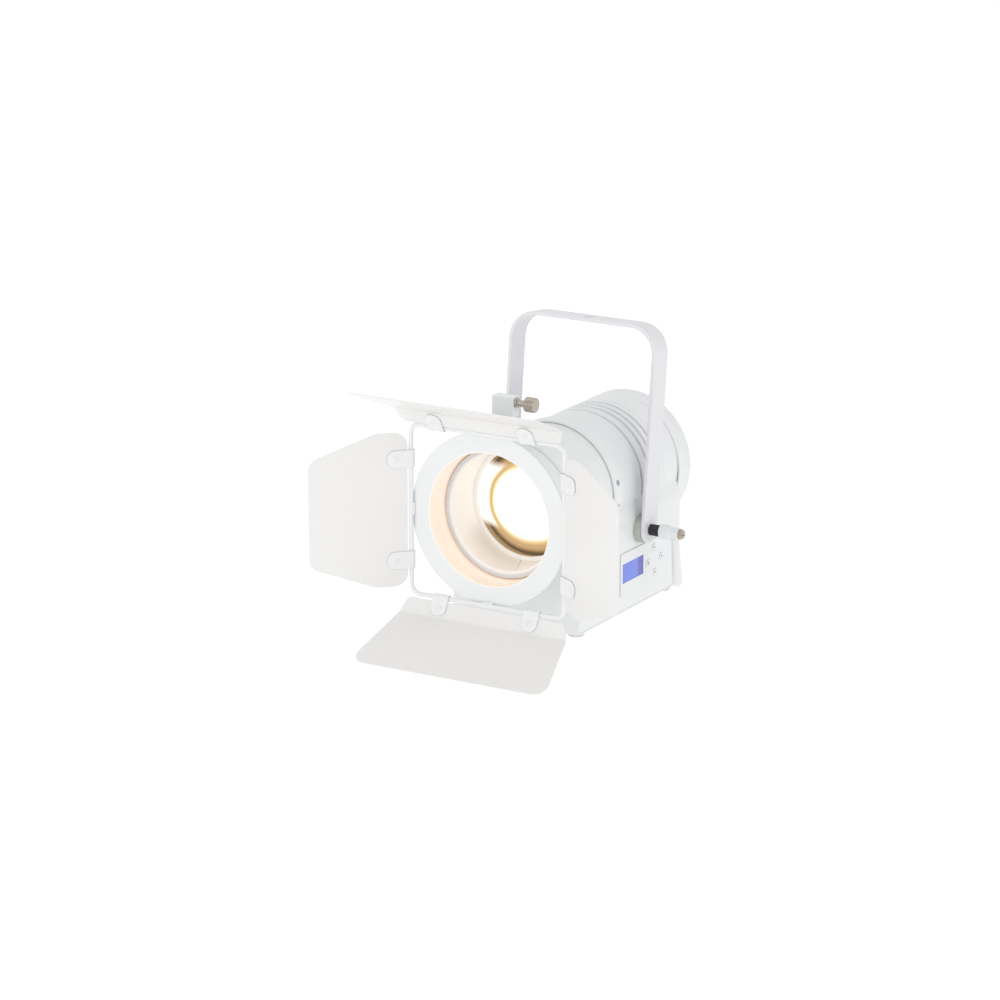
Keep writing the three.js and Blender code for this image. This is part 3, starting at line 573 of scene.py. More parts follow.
lens_axis_front = HEAD @ Vector((0, 0, 0))
towards_camera = Vector((
    math.sin(AZIMUTH) * math.cos(ELEVATION), -math.cos(AZIMUTH) * math.cos(ELEVATION), math.sin(ELEVATION)
))
camera_right = Vector((math.cos(AZIMUTH), math.sin(AZIMUTH), 0))
camera_up = towards_camera.cross(camera_right)
camera = bpy.data.objects.new("camera", bpy.data.cameras.new("camera"))
bpy.context.scene.collection.objects.link(camera)
camera.data.lens = FOCAL_LENGTH
camera.data.sensor_width = SENSOR_WIDTH
camera.location = (
    lens_axis_front + towards_camera * CAMERA_DISTANCE + camera_right * CAMERA_RIGHT + camera_up * CAMERA_UP
)
camera.rotation_euler = (-towards_camera).to_track_quat("-Z", "Y").to_euler()
bpy.context.scene.camera = camera
bpy.context.scene.view_settings.view_transform = "Standard"

# %% Floor
FLOOR_DROP, FLOOR_SIZE = 0.9, 60
floor_finish, floor_tree, floor_shader = new_finish("studio_floor")
floor_cloud = noise(floor_tree, 0.8)
floor_white = two_colours(floor_tree, floor_cloud, (0.93, 0.93, 0.93), (0.95, 0.95, 0.95))
feed(floor_shader, {
    "Base Color": floor_white, "Roughness": 0.9, "Emission Color": (1, 1, 1, 1), "Emission Strength": 0.19
})
floor_mesh = bmesh.new()
bmesh.ops.create_grid(floor_mesh, x_segments=2, y_segments=2, size=FLOOR_SIZE / 2)
bmesh.ops.translate(floor_mesh, vec=(0, 0, cad_low.z - FLOOR_DROP), verts=floor_mesh.verts[:])
floor = as_object("studio_floor", floor_mesh)
floor_mesh.free()
floor.data.materials.append(floor_finish)

# %% Light
ROOM_LIGHT, SEEN_LIGHT = 0.89, 1.05
world = bpy.data.worlds.new("white_room")
bpy.context.scene.world = world
world.use_nodes = True
sees_room = world.node_tree.nodes.new("ShaderNodeLightPath").outputs["Is Camera Ray"]
room_strength = between(world.node_tree, sees_room, ROOM_LIGHT, SEEN_LIGHT)
feed(world.node_tree.nodes["Background"], {"Color": (1, 1, 1, 1), "Strength": room_strength})


def soft_box(name, place, size, power):
    """A square soft box that faces the lamp."""
    lamp = bpy.data.lights.new(name, "AREA")
    lamp.size = size
    lamp.energy = power
    box = bpy.data.objects.new(name, lamp)
    box.location = lens_axis_front + Vector(place)
    box.rotation_euler = (-Vector(place)).to_track_quat("-Z", "Y").to_euler()
    bpy.context.scene.collection.objects.link(box)


soft_box("key_box", (-0.7, -3.0, 0.6), 1.6, 15)
soft_box("side_box", (2.7, -0.6, 0.5), 1.2, 6)

# %% [markdown]
# ## Housing
# The housing is one folded and rolled sheet: a round top on a flat-sided box. Its section is a chain of edges,
# an arc made by a spin and two straight sides. Pushing that chain from front to back makes the skin, and at
# each stop the round part can sink a little: that gives the seams and the cooling grooves. The skin then gets
# its thickness, and the window, the button holes and the focus slot are cut out.

# %% Sizes of the housing
shell_low, shell_high = head_box("housing_shell")
panel_low, panel_high = head_box("control_panel")
display_low, display_high = head_box("display_window")
knob_low, knob_high = head_box("focus_knob")
BUTTONS = ("top", "right", "bottom", "left")
ROUND_RADIUS, FLAT_SIDE = shell_high.z, shell_high.x
SHELL_BOTTOM, SHELL_FRONT, SHELL_REAR = shell_low.z, shell_low.y, shell_high.y
SHELL_WALL = 2.2
SHOULDER_TOP, SHOULDER_BOTTOM = -14, -28
GROOVES, GROOVE_DEPTH = (202, 218, 229.5, 241), 3.6
SEAMS, SEAM_DEPTH = (127, 251.5), 0.6
PIVOT_IN_HEAD = HEAD.inverted() @ pivot_point
print("housing", round(SHELL_REAR - SHELL_FRONT), "mm long, round top", round(2 * ROUND_RADIUS), "mm across")


# %% Section of the housing
def housing_chain(bm, radius, half_width, bottom, y=0.0, steps=112):
    """The open section at one place along Y, from the right foot over the top to the left foot."""
    start = math.asin(SHOULDER_TOP / radius)
    first = bm.verts.new((radius * math.cos(start), y, SHOULDER_TOP))
    bmesh.ops.spin(
        bm, geom=[first], cent=(0, y, 0), axis=(0, -1, 0), angle=math.pi - 2 * start, steps=steps
    )
    ends = sorted((vert for vert in bm.verts if len(vert.link_edges) == 1), key=lambda vert: vert.co.x)
    for side, end in ((-1, ends[0]), (1, ends[-1])):
        shoulder = bm.verts.new((side * half_width, y, SHOULDER_BOTTOM))
        foot = bm.verts.new((side * half_width, y, bottom))
        bm.edges.new((end, shoulder))
        bm.edges.new((shoulder, foot))
    return bm


def housing_stops():
    """(place along Y, depth of the round part) pairs from front to back."""
    stops = [(SHELL_FRONT, 0.4), (SHELL_FRONT + 0.4, 0)]
    seams = [(y, SEAM_DEPTH, 0.5) for y in SEAMS]
    for place, depth, half in sorted(seams + [(y, GROOVE_DEPTH, 2.1) for y in GROOVES]):
        lip = min(0.35, depth / 2)
        wall = half * 0.9
        stops += [(place - half - lip, 0), (place - half, lip), (place - wall, depth - lip)]
        stops += [(place - wall + lip, depth), (place + wall - lip, depth)]
        stops += [(place + wall, depth - lip), (place + half, lip), (place + half + lip, 0)]
    return [*stops, (SHELL_REAR - 0.1, 0), (SHELL_REAR, 0.1)]


FADE = 7.0


def sink(vert, y, depth):
    """Puts a point of the section at a stop, deeper by depth on the round part."""
    vert.co.y = y
    if vert.co.z < SHOULDER_TOP - 0.01:
        return
    angle = math.atan2(vert.co.z, vert.co.x)
    rise = min(1, max(0, (ROUND_RADIUS * math.sin(angle) - SHOULDER_TOP) / FADE))
    radius = ROUND_RADIUS - depth * rise * rise * (3 - 2 * rise)
    vert.co.x, vert.co.z = radius * math.cos(angle), radius * math.sin(angle)


def housing_skin():
    bm = housing_chain(bmesh.new(), ROUND_RADIUS, FLAT_SIDE, SHELL_BOTTOM, SHELL_FRONT)
    sides = [vert for vert in bm.verts if abs(abs(vert.co.x) - FLAT_SIDE) < 0.01]
    shoulders = [vert for vert in sides if vert.co.z > SHELL_BOTTOM + 1]
    bevel(bm, shoulders, 4, 4, "VERTICES")
    stops = housing_stops()
    edges = bm.edges[:]
    for vert in bm.verts:
        sink(vert, *stops[0])
    for y, depth in stops[1:]:
        grown = bmesh.ops.extrude_edge_only(bm, edges=edges)["geom"]
        verts = kind_of(grown, BMVert)
        for vert in verts:
            sink(vert, y, depth)
        fresh = set(verts)
        edges = [part for part in grown if isinstance(part, BMEdge) and set(part.verts) <= fresh]
    bmesh.ops.recalc_face_normals(bm, faces=bm.faces[:])
    outer = max(bm.faces, key=lambda face: face.calc_center_median().z)
    if outer.normal.z < 0:
        bmesh.ops.reverse_faces(bm, faces=bm.faces[:])
    bmesh.ops.solidify(bm, geom=bm.faces[:], thickness=SHELL_WALL)
    return bm


# %% Openings in the housing
WINDOW_CLEARANCE = 1.5
SLOT_HALF, BUTTON_HOLE, PIVOT_BORE = 4.4, 4.2, 4.4


def housing_cutters():
    cutters = [
        block(
            (FLAT_SIDE - 6, display_low.y - WINDOW_CLEARANCE, display_low.z - WINDOW_CLEARANCE),
            (FLAT_SIDE + 6, display_high.y + WINDOW_CLEARANCE, display_high.z + WINDOW_CLEARANCE),
            edge=0,
        )
    ]
    for name in BUTTONS:
        centre = middle(f"button_{name}")
        hole = [(0, 70), (BUTTON_HOLE, 70), (BUTTON_HOLE, 90), (0, 90)]
        cutters.append(turned(hole, 0, 24, "X", (0, centre.y, centre.z)))
    forward = JOINTS["focus_slide"]["range_m"][1] / MM
    backward = -JOINTS["focus_slide"]["range_m"][0] / MM
    knob = middle("focus_knob")
    slot = rectangle(
        knob.y - forward - SLOT_HALF,
        knob.y + backward + SLOT_HALF,
        knob.z - SLOT_HALF,
        knob.z + SLOT_HALF,
        SLOT_HALF - 0.05,
    )
    cutters.append(plate(slot, 30, edge=0, offset=(-ROUND_RADIUS - 15, 0, 0)))
    bore = [(0, -90), (PIVOT_BORE, -90), (PIVOT_BORE, 90), (0, 90)]
    cutters.append(turned(bore, 0, 32, "X", (0, PIVOT_IN_HEAD.y, PIVOT_IN_HEAD.z)))
    return together(*cutters)


housing = piece(
    "housing_shell_painted",
    cut_out(housing_skin(), housing_cutters()),
    "head", white_paint,
    ["housing_shell"],
    weld=False,
)
print("housing has", len(housing.data.polygons), "faces")

# %% [markdown]
# The bezel closes the front of the housing: a turned collar in one piece with a flat plate of the housing's
# own section. Both are simple shapes, so they are made apart and joined by a boolean union. A strap runs round
# the top behind it and is held by a screw and a small rivet at each end.

# %% Front bezel
bezel_low, bezel_high = head_box("front_bezel")
BEZEL_PLATE, BEZEL_BORE, BEZEL_NECK, BEZEL_CHAMFER = 3, 73.2, 77, 3


def section_plate(radius, half_width, bottom, y0, y1, holes=(), edge=0.5, corner=0.0):
    """A flat plate of the housing's section."""
    bm = housing_chain(bmesh.new(), radius, half_width, bottom)
    feet = sorted((vert for vert in bm.verts if len(vert.link_edges) == 1), key=lambda vert: vert.co.x)
    bm.edges.new(feet)
    bmesh.ops.triangle_fill(bm, edges=bm.edges[:], use_beauty=True)
    if corner > 0:
        bmesh.ops.dissolve_faces(bm, faces=bm.faces[:])
        low = [vert for vert in bm.verts if vert.co.z < bottom + 0.01]
        bevel(bm, low, corner, 6, "VERTICES")
    bmesh.ops.delete(bm, geom=bm.faces[:], context="FACES_ONLY")
    flat = FACING_Y.inverted()
    moved(bm, flat)
    for x, z, hole in holes:
        circle(bm, x, z, hole, 64 if hole > 20 else 32)
    bmesh.ops.triangle_fill(bm, edges=bm.edges[:], use_beauty=True)
    thicken(bm, y1 - y0)
    if edge > 0:
        soften(bm, edge)
    moved(bm, Matrix.Translation((0, y1, 0)) @ FACING_Y)
    return bm


collar = turned(
    [
        (BEZEL_BORE, bezel_low.y),
        (BEZEL_NECK, bezel_low.y, 0.6),
        (bezel_high.x, bezel_low.y + BEZEL_CHAMFER, 0.8),
        (bezel_high.x, bezel_high.y),
        (BEZEL_BORE, bezel_high.y),
    ],
    0.5,
    128,
)
bezel_plate = section_plate(
    ROUND_RADIUS,
    FLAT_SIDE,
    bezel_low.z,
    bezel_high.y - BEZEL_PLATE,
    bezel_high.y,
    holes=[(0, 0, BEZEL_BORE + 1)],
    corner=3,
)
piece(
    "front_bezel_painted",
    cut_out(collar, bezel_plate, "UNION"),
    "head", white_paint,
    ["front_bezel"],
)

# %% Strap round the housing
band_low, band_high = head_box("flange_band")
BAND_THICKNESS, BAND_END = 2.7, 10


def strap():
    """A rectangle spun part of the way round, with its two ends closed."""
    bm = bmesh.new()
    inner, outer = band_high.x - BAND_THICKNESS, band_high.x
    outline(bm, rectangle(inner, outer, band_low.y, band_high.y, 1.0), 3)
    start = Matrix.Rotation(math.radians(BAND_END), 4, "Y")
    moved(bm, start)
    bmesh.ops.spin(
        bm,
        geom=bm.verts[:] + bm.edges[:],
        cent=(0, 0, 0),
        axis=(0, -1, 0),
        angle=math.radians(180 + 2 * BAND_END),
        steps=110,
    )
    close_ends(bm)
    return bm


piece("flange_band_painted", strap(), "head", white_paint, ["flange_band"])
band_middle = (band_low.y + band_high.y) / 2


def radial(angle_degrees, radius, y):
    """A matrix that puts a shape modelled along Z on the round top, pointing outwards."""
    angle = math.radians(angle_degrees)
    turn = Vector((math.cos(angle), 0, math.sin(angle))).to_track_quat("Z", "Y").to_matrix().to_4x4()
    return Matrix.Translation((radius * math.cos(angle), y, radius * math.sin(angle))) @ turn


def pan_head(radius, height, slot=0.0):
    """A screw or rivet head along Z, with a cross slot if asked."""
    bm = turned([(0, -0.6), (radius, -0.6, 0.1), (radius, height * 0.55, 0.3), (radius * 0.6, height), (0, height)],
                0.2, 32, "Z")
    if slot > 0:
        bars = [
            block((-radius * 0.6, -slot, height * 0.45), (radius * 0.6, slot, height + 1), edge=0),
            block((-slot, -radius * 0.6, height * 0.45), (slot, radius * 0.6, height + 1), edge=0),
        ]
        bm = cut_out(bm, cut_out(*bars, "UNION"))
    return bm


for side, angles in (("right", (12.4, -6)), ("left", (180 - 12.4, 186))):
    for kind, angle, radius, slot in (("screw", angles[0], 3.5, 0.5), ("rivet", angles[1], 1.5, 0)):
        head = pan_head(radius, 1.0, slot)
        moved(head, radial(angle, band_high.x - 0.3, band_middle))
        piece(f"band_{kind}_{side}", head, "head", steel)

# %% [markdown]
# The base plate closes the box from below. It has a row of long air slots for the power supply, four screws,
# and a moulded foot near each corner with its screw sunk in it.

# %% Base plate and feet
plate_low, plate_high = head_box("base_plate")
AIR_SLOTS, AIR_SLOT_HALF, AIR_SLOT_WIDTH = 9, 34, 3


def base():
    bm = block(plate_low, plate_high, 0.6, 2)
    centre = (plate_low.y + plate_high.y) / 2
    slots = []
    for row in range(AIR_SLOTS):
        y = centre + (row - (AIR_SLOTS - 1) / 2) * 8
        low = (-AIR_SLOT_HALF, y - AIR_SLOT_WIDTH / 2, plate_low.z - 2)
        high = (AIR_SLOT_HALF, y + AIR_SLOT_WIDTH / 2, plate_high.z + 2)
        slots.append(block(low, high, edge=0))
    return cut_out(bm, together(*slots))


piece("base_plate_painted", base(), "head", white_paint, ["base_plate"])
for end in ("front", "rear"):
    for side in ("left", "right"):
        node = f"foot_{end}_{side}"
        low, high = head_box(node)
        spot = (low + high) / 2
        radius = (high.x - low.x) / 2
        foot = turned(
            [(0, high.z), (radius, high.z), (radius, low.z + 2.2, 0.6), (radius - 1.2, low.z, 0.8),
             (3.4, low.z, 0.4), (3.4, low.z + 2.4, 0.2), (0, low.z + 2.4)],
            0.4, 48, "Z", (spot.x, spot.y, 0),
        )
        piece(f"{node}_moulded", foot, "head", foot_rubber, [node])
        screw = pan_head(2.6, 1.2, 0.4)
        upside_down = Matrix.Translation((spot.x, spot.y, low.z + 2.3)) @ Matrix.Rotation(math.pi, 4, "X")
        moved(screw, upside_down)
        piece(f"{node}_screw", screw, "head", steel)

# %% [markdown]
# ## Rear
# The rear cap is spun sheet: a cup with two rolled beads round it and a ring of air slots in its face. The
# slots are one cutter, copied round the axis by a spin that duplicates.

# %% Rear cap
cap_low, cap_high = head_box("rear_cap")
CAP_WALL, CAP_EDGE, CAP_SEAMS, CAP_VENTS = 2.2, 6, (300, 305), 16
CAP_DROP = (cap_low.z + cap_high.z) / 2


def rear_cap():
    radius, rear = cap_high.x, cap_high.y
    corners = [(0, rear - CAP_WALL), (radius - CAP_WALL, rear - CAP_WALL, CAP_EDGE - CAP_WALL)]
    corners += [(radius - CAP_WALL, cap_low.y - 0.2), (radius, cap_low.y - 0.2, 0.1)]
    for seam in CAP_SEAMS:
        corners += [(radius, seam - 0.8, 0.3), (radius - 0.9, seam, 0.3), (radius, seam + 0.8, 0.3)]
    corners += [(radius, rear, CAP_EDGE - 0.2), (0, rear)]
    bm = turned(corners, 0.3, 128)
    vents = plate(rectangle(-2, 2, 25, 58, 1.95), 8, edge=0, turn=FACING_Y, offset=(0, rear + 3, 0))
    bmesh.ops.spin(
        vents,
        geom=vents.verts[:] + vents.edges[:] + vents.faces[:],
        cent=(0, 0, 0),
        axis=(0, 1, 0),
        angle=2 * math.pi * (CAP_VENTS - 1) / CAP_VENTS,
        steps=CAP_VENTS - 1,
        use_duplicate=True,
    )
    cap = cut_out(bm, vents)
    bmesh.ops.translate(cap, vec=(0, 0, CAP_DROP), verts=cap.verts[:])
    return cap


piece("rear_cap_painted", rear_cap(), "head", white_paint, ["rear_cap"])
for number in range(4):
    head = pan_head(2.4, 1.1, 0.4)
    angle = 45 + 90 * number
    spot = Matrix.Rotation(math.radians(angle), 4, "Y") @ Vector((18, 0, 0))
    turn = Matrix.Translation((spot.x, cap_high.y, spot.z + CAP_DROP)) @ Matrix.Rotation(-math.pi / 2, 4, "X")
    moved(head, turn)
    piece(f"cap_screw_{number + 1}", head, "head", steel)

# %% [markdown]
# Under the cap a recessed panel carries the sockets. Each socket is a black moulding with a flange, a deep
# round mouth and its contacts: three blades for power, three pins for control. The flange is screwed on.

# %% Rear panel
rear_low, rear_high = head_box("rear_panel")
SOCKETS = {"power_inlet": "blades", "power_outlet": "blades", "dmx_inlet": "pins", "dmx_outlet": "pins"}
fuse_low, fuse_high = head_box("fuse_holder")
SOCKET_BARREL, SOCKET_MOUTH, SOCKET_DEPTH, FLANGE = 11.6, 9.5, 10, 2.2
fuse_middle = (fuse_low + fuse_high) / 2
panel_holes = [(middle(name).x, middle(name).z, SOCKET_BARREL + 0.3) for name in SOCKETS]
panel_holes.append((fuse_middle.x, fuse_middle.z, 6.8))
piece(
    "rear_panel_painted",
    section_plate(rear_high.z, rear_high.x, rear_low.z, rear_low.y, rear_high.y, panel_holes, 0.3),
    "head", white_paint,
    ["rear_panel"],
)


# %% Sockets
def socket_shell(node):
    low, high = head_box(node)
    spot = (low + high) / 2
    back = high.y - FLANGE
    flange = plate(
        rectangle(low.x, high.x, low.z, high.z, 3), FLANGE, edge=0.4, turn=FACING_Y, offset=(0, high.y, 0)
    )
    barrel = turned(
        [(0, low.y), (SOCKET_BARREL, low.y), (SOCKET_BARREL, back + 0.5), (0, back + 0.5)],
        0.4, 64, "Y", (spot.x, 0, spot.z),
    )
    mouth = turned(
        [(0, high.y - SOCKET_DEPTH), (SOCKET_MOUTH, high.y - SOCKET_DEPTH), (SOCKET_MOUTH, high.y - 0.8, 0.1),
         (SOCKET_MOUTH + 0.9, high.y + 1), (0, high.y + 1)],
        0.1, 64, "Y", (spot.x, 0, spot.z),
    )
    return cut_out(cut_out(flange, barrel, "UNION"), mouth), spot, high.y


def socket_contacts(kind, spot, rear):
    shapes = []
    for number in range(3):
        angle = math.radians(90 + 120 * number)
        x, z = spot.x + 4.4 * math.cos(angle), spot.z + 4.4 * math.sin(angle)
        if kind == "pins":
            shapes.append(turned([(0, rear - 11), (1.2, rear - 11), (1.2, rear - 2, 0.8), (0, rear - 2)],
                                 0.1, 20, "Y", (x, 0, z)))
        else:
            shapes.append(block((x - 2.2, rear - 11, z - 0.7), (x + 2.2, rear - 3, z + 0.7), 0.2, 2))
    return together(*shapes)


for node, kind in SOCKETS.items():
    shell, spot, rear = socket_shell(node)
    piece(f"{node}_moulding", shell, "head", black_plastic, [node])
    piece(f"{node}_contacts", socket_contacts(kind, spot, rear), "head", nickel)
    heads = []
    for side in (-1, 1):
        head = pan_head(1.5, 0.7, 0.25)
        corner = Matrix.Translation((spot.x + side * 10.4, rear, spot.z - side * 12.6))
        moved(head, corner @ Matrix.Rotation(-math.pi / 2, 4, "X"))
        heads.append(head)
    piece(f"{node}_screws", together(*heads), "head", steel)

# %% Fuse holder and safety eye
fuse_radius = (fuse_high.x - fuse_low.x) / 2
fuse = turned(
    [(0, fuse_low.y), (6.5, fuse_low.y), (6.5, fuse_high.y - 3.5), (fuse_radius, fuse_high.y - 3.5),
     (fuse_radius, fuse_high.y, 0.8), (0, fuse_high.y)],
    0.3, 48, "Y", (fuse_middle.x, 0, fuse_middle.z),
)
coin_slot = block((-5, -2, -0.8), (5, 1, 0.8), 0)
bmesh.ops.translate(coin_slot, vec=(fuse_middle.x, fuse_high.y, fuse_middle.z), verts=coin_slot.verts[:])
piece("fuse_holder_moulding", cut_out(fuse, coin_slot), "head", black_plastic, ["fuse_holder"])

eye_low, eye_high = head_box("safety_eye")
EYE_ROD, EYE_BEND = 2.2, 5


def safety_eye():
    bm = bmesh.new()
    z = (eye_low.z + eye_high.z) / 2
    half = (eye_high.x - eye_low.x) / 2 - EYE_ROD
    rise = eye_high.y - EYE_ROD - eye_low.y - EYE_BEND
    start = (-half, eye_low.y, z)
    loop = round_loop(bm, EYE_ROD, start, (0, 1, 0))
    bent_bar(
        bm,
        loop,
        start,
        (0, 1, 0),
        [rise, (EYE_BEND, 90, (0, 0, -1)), 2 * (half - EYE_BEND), (EYE_BEND, 90, (0, 0, -1)), rise],
    )
    close_ends(bm)
    return bm


piece("safety_eye_bent", safety_eye(), "head", steel, ["safety_eye"])

# %% [markdown]
# ## Control panel
# The panel is a thin plate on the flat side, with a window for the display and a hole for each button. Each
# button is a turned plunger with a slightly domed face, and carries a small raised arrow or ring, which is
# geometry, because a printed picture would need an image.

# %% Panel plate
panel_plate = plate(
    rectangle(panel_low.y, panel_high.y, panel_low.z, panel_high.z, 3),
    panel_high.x - panel_low.x,
    holes=[(middle(f"button_{name}").y, middle(f"button_{name}").z, 4.2) for name in BUTTONS],
    rectangles=[rectangle(display_low.y - 0.3, display_high.y + 0.3, display_low.z - 0.3, display_high.z + 0.3, 0.8)],
    edge=0.2,
    offset=(panel_low.x, 0, 0),
)
piece("control_panel_painted", panel_plate, "head", white_paint, ["control_panel"])


# %% [markdown]
# The display glows blue behind a clear window. Its glow comes from Object coordinates: a coordinate that runs
# from 0 to 1 along the window, a ramp that darkens its edge, and a darker column of thin bars, like a level
# meter, near its rear end.

# %% Display
def display_finish():
    material, tree, shader = new_finish("display")
    low, high = HEAD @ display_low, HEAD @ display_high
    size = high - low
    place = object_point(tree, tuple(low), (1, 1 / size.y, 1 / size.z))
    across = add_node(tree, "SeparateXYZ", {"Vector": place}).outputs["Y"]
    blue, deep, bar = (0.14, 0.21, 0.68), (0.05, 0.07, 0.40), (0.16, 0.12, 0.38)
    stops = [(0, deep), (0.03, blue), (0.70, (0.165, 0.24, 0.71)), (0.77, bar), (0.9, bar), (0.94, deep)]
    bars = add_node(tree, "TexWave", {"Scale": 320, "Vector": object_point(tree)}, bands_direction="Z")
    in_column = between_numbers(tree, across, 0.74, 0.78)
    strength = two_numbers(tree, "MULTIPLY", in_column, between(tree, bars.outputs["Fac"], 0.0, 0.5))
    colour = two_colours(tree, strength, ramp(tree, across, stops), (0.03, 0.03, 0.16))
    rows = noise(tree, 500, 0, (1, 1, 3))
    colour = two_colours(tree, between(tree, rows, 0, 0.18), colour, (0.30, 0.36, 0.80))
    feed(shader, {
        "Emission Color": colour,
        "Emission Strength": 0.85,
        "Base Color": two_colours(tree, rows, (0.02, 0.03, 0.12), (0.03, 0.04, 0.16)),
        "Roughness": between(tree, rows, 0.10, 0.16),
    })
    return material


window = block(display_low, display_high, 0.25, 2)
piece("display_window_clear", window, "head", display_finish(), ["display_window"])

# %% Buttons
BUTTON_RADIUS, BUTTON_FLANGE, BUTTON_FLANGE_FRONT = 3.9, 5.0, 75.4
ARROW_TURNS = {"top": 90, "right": 0, "bottom": -90}


def arrow(turn_degrees):
    """A flat triangle, pointing along X before it is turned."""
    bm = bmesh.new()
    bmesh.ops.create_circle(bm, cap_ends=True, radius=1.5, segments=3)
    bmesh.ops.recalc_face_normals(bm, faces=bm.faces[:])
    thicken(bm, 0.35)
    turn = Matrix.Rotation(math.radians(turn_degrees - 90), 4, "Z")
    moved(bm, turn)
    return bm


for name in BUTTONS:
    node = f"button_{name}"
    low, high = head_box(node)
    spot = (low + high) / 2
    plunger = turned(
        [(0, low.x), (BUTTON_FLANGE, low.x), (BUTTON_FLANGE, BUTTON_FLANGE_FRONT),
         (BUTTON_RADIUS, BUTTON_FLANGE_FRONT), (BUTTON_RADIUS, high.x - 0.5, 0.4), (2.4, high.x - 0.25, 0.4),
         (0, high.x - 0.2)],
        0.2, 48, "X", (0, spot.y, spot.z),
    )
    piece(f"{node}_cap", plunger, node, button_plastic, [node])
    if name in ARROW_TURNS:
        mark = arrow(ARROW_TURNS[name])
    else:
        mark = turned([(0.9, 0), (1.5, 0), (1.5, 0.35), (0.9, 0.35)], 0, 32, "Z")
    facing = Matrix.Translation((high.x - 0.38, spot.y, spot.z)) @ FACING_X
    moved(mark, facing)
    piece(f"{node}_mark", mark, node, print_ink)

# %% [markdown]
# ## Front tube, accessory holder and latch
# The light leaves through a short tube. A turned cup on it holds the collar of the barn doors, which can turn
# in it. A sprung block on top reaches into the collar's groove with a tongue, and its knurled screw locks it.

# %% Front tube and holder
tube_low, tube_high = head_box("front_tube")
holder_low, holder_high = head_box("accessory_holder")
latch_low, latch_high = head_box("holder_latch")
TUBE_BORE, HOLDER_BORE, HOLDER_BACK = 73, 79.2, 2
front_tube = turned(
    [(TUBE_BORE, tube_low.y), (tube_high.x, tube_low.y), (tube_high.x, tube_high.y), (TUBE_BORE, tube_high.y)],
    0.4,
    128,
)
piece("front_tube_rolled", front_tube, "head", tube_paint_painted_glow, ["front_tube"])
HOLDER_REAR, HOLDER_RADIUS, POST_HALF = 20.3, 82, 8
LATCH_LEG_HALF, GROOVE_FRONT, GROOVE_REAR = 5, 8.8, 12.2
holder_cup = turned(
    [(TUBE_BORE, HOLDER_REAR - HOLDER_BACK), (HOLDER_BORE, HOLDER_REAR - HOLDER_BACK), (HOLDER_BORE, holder_low.y),
     (HOLDER_RADIUS, holder_low.y), (HOLDER_RADIUS, HOLDER_REAR, 0.8), (TUBE_BORE, HOLDER_REAR)],
    0.4,
    128,
)
post = block((-POST_HALF, 32.5, 76.8), (POST_HALF, holder_high.y, holder_high.z), 0.5, 2)
foot = block((-POST_HALF, 17, 79.4), (POST_HALF, holder_high.y, 83), 0.5, 2)
leg_slot = block((-LATCH_LEG_HALF - 0.6, GROOVE_FRONT, 70), (LATCH_LEG_HALF + 0.6, GROOVE_REAR, 90), 0)
holder = cut_out(cut_out(holder_cup, cut_out(post, foot, "UNION"), "UNION"), leg_slot)
piece("accessory_holder_painted", holder, "head", tube_paint_painted_glow, ["accessory_holder"])

# %% Latch
LATCH_FRONT, LATCH_BOTTOM, TONGUE = 29, 106, 2.4
screw_low, screw_high = head_box("latch_thumb_screw")
screw_middle = (screw_low + screw_high) / 2


def latch_block():
    body = block((latch_low.x, LATCH_FRONT, LATCH_BOTTOM), latch_high, 0.9, 3)
    tongue = block((-8, latch_low.y, LATCH_BOTTOM), (8, LATCH_FRONT + 1, LATCH_BOTTOM + TONGUE), 0.4, 2)
    leg = block((-LATCH_LEG_HALF, latch_low.y, latch_low.z),
                (LATCH_LEG_HALF, latch_low.y + 2.2, LATCH_BOTTOM + 1), 0.4, 2)
    solid = cut_out(body, cut_out(tongue, leg, "UNION"), "UNION")
    pocket = block((-POST_HALF - 0.4, 32.1, LATCH_BOTTOM - 1), (POST_HALF + 0.4, 39.4, latch_high.z - 2.1), 0)
    bore = turned([(0, 5), (2.9, 5), (2.9, 20), (0, 20)], 0, 32, "X", (0, screw_middle.y, screw_middle.z))
    return cut_out(cut_out(solid, pocket), bore)


piece("holder_latch_block", latch_block(), "latch", white_paint, ["holder_latch"])


# %% [markdown]
# Knurling keeps the fingers from slipping. The knurled head is a circle of many points, with every other pair
# pulled in a little, extruded to its length and beveled at both ends. A spacer with coarser ribs sits behind
# the clamp lever.

# %% Knurls
def knurled(radius, depth, teeth, start, end, rounding, axis="X", at=(0, 0, 0)):
    bm = bmesh.new()
    bmesh.ops.create_circle(bm, cap_ends=True, radius=radius, segments=teeth * 4)
    for number, vert in enumerate(sorted(bm.verts, key=lambda vert: math.atan2(vert.co.y, vert.co.x))):
        if number % 4 < 2:
            vert.co *= 1 - depth / radius
    bmesh.ops.recalc_face_normals(bm, faces=bm.faces[:])
    thicken(bm, end - start)
    rims = [edge for edge in bm.edges if abs(edge.verts[0].co.z - edge.verts[1].co.z) < 1e-5]
    bevel(bm, rims, rounding, 2)
    along_y = Matrix.Rotation(-math.pi / 2, 4, "X")
    place = Matrix.Translation(at) @ AXES[axis] @ Matrix.Translation((0, start, 0)) @ along_y
    moved(bm, place)
    return bm


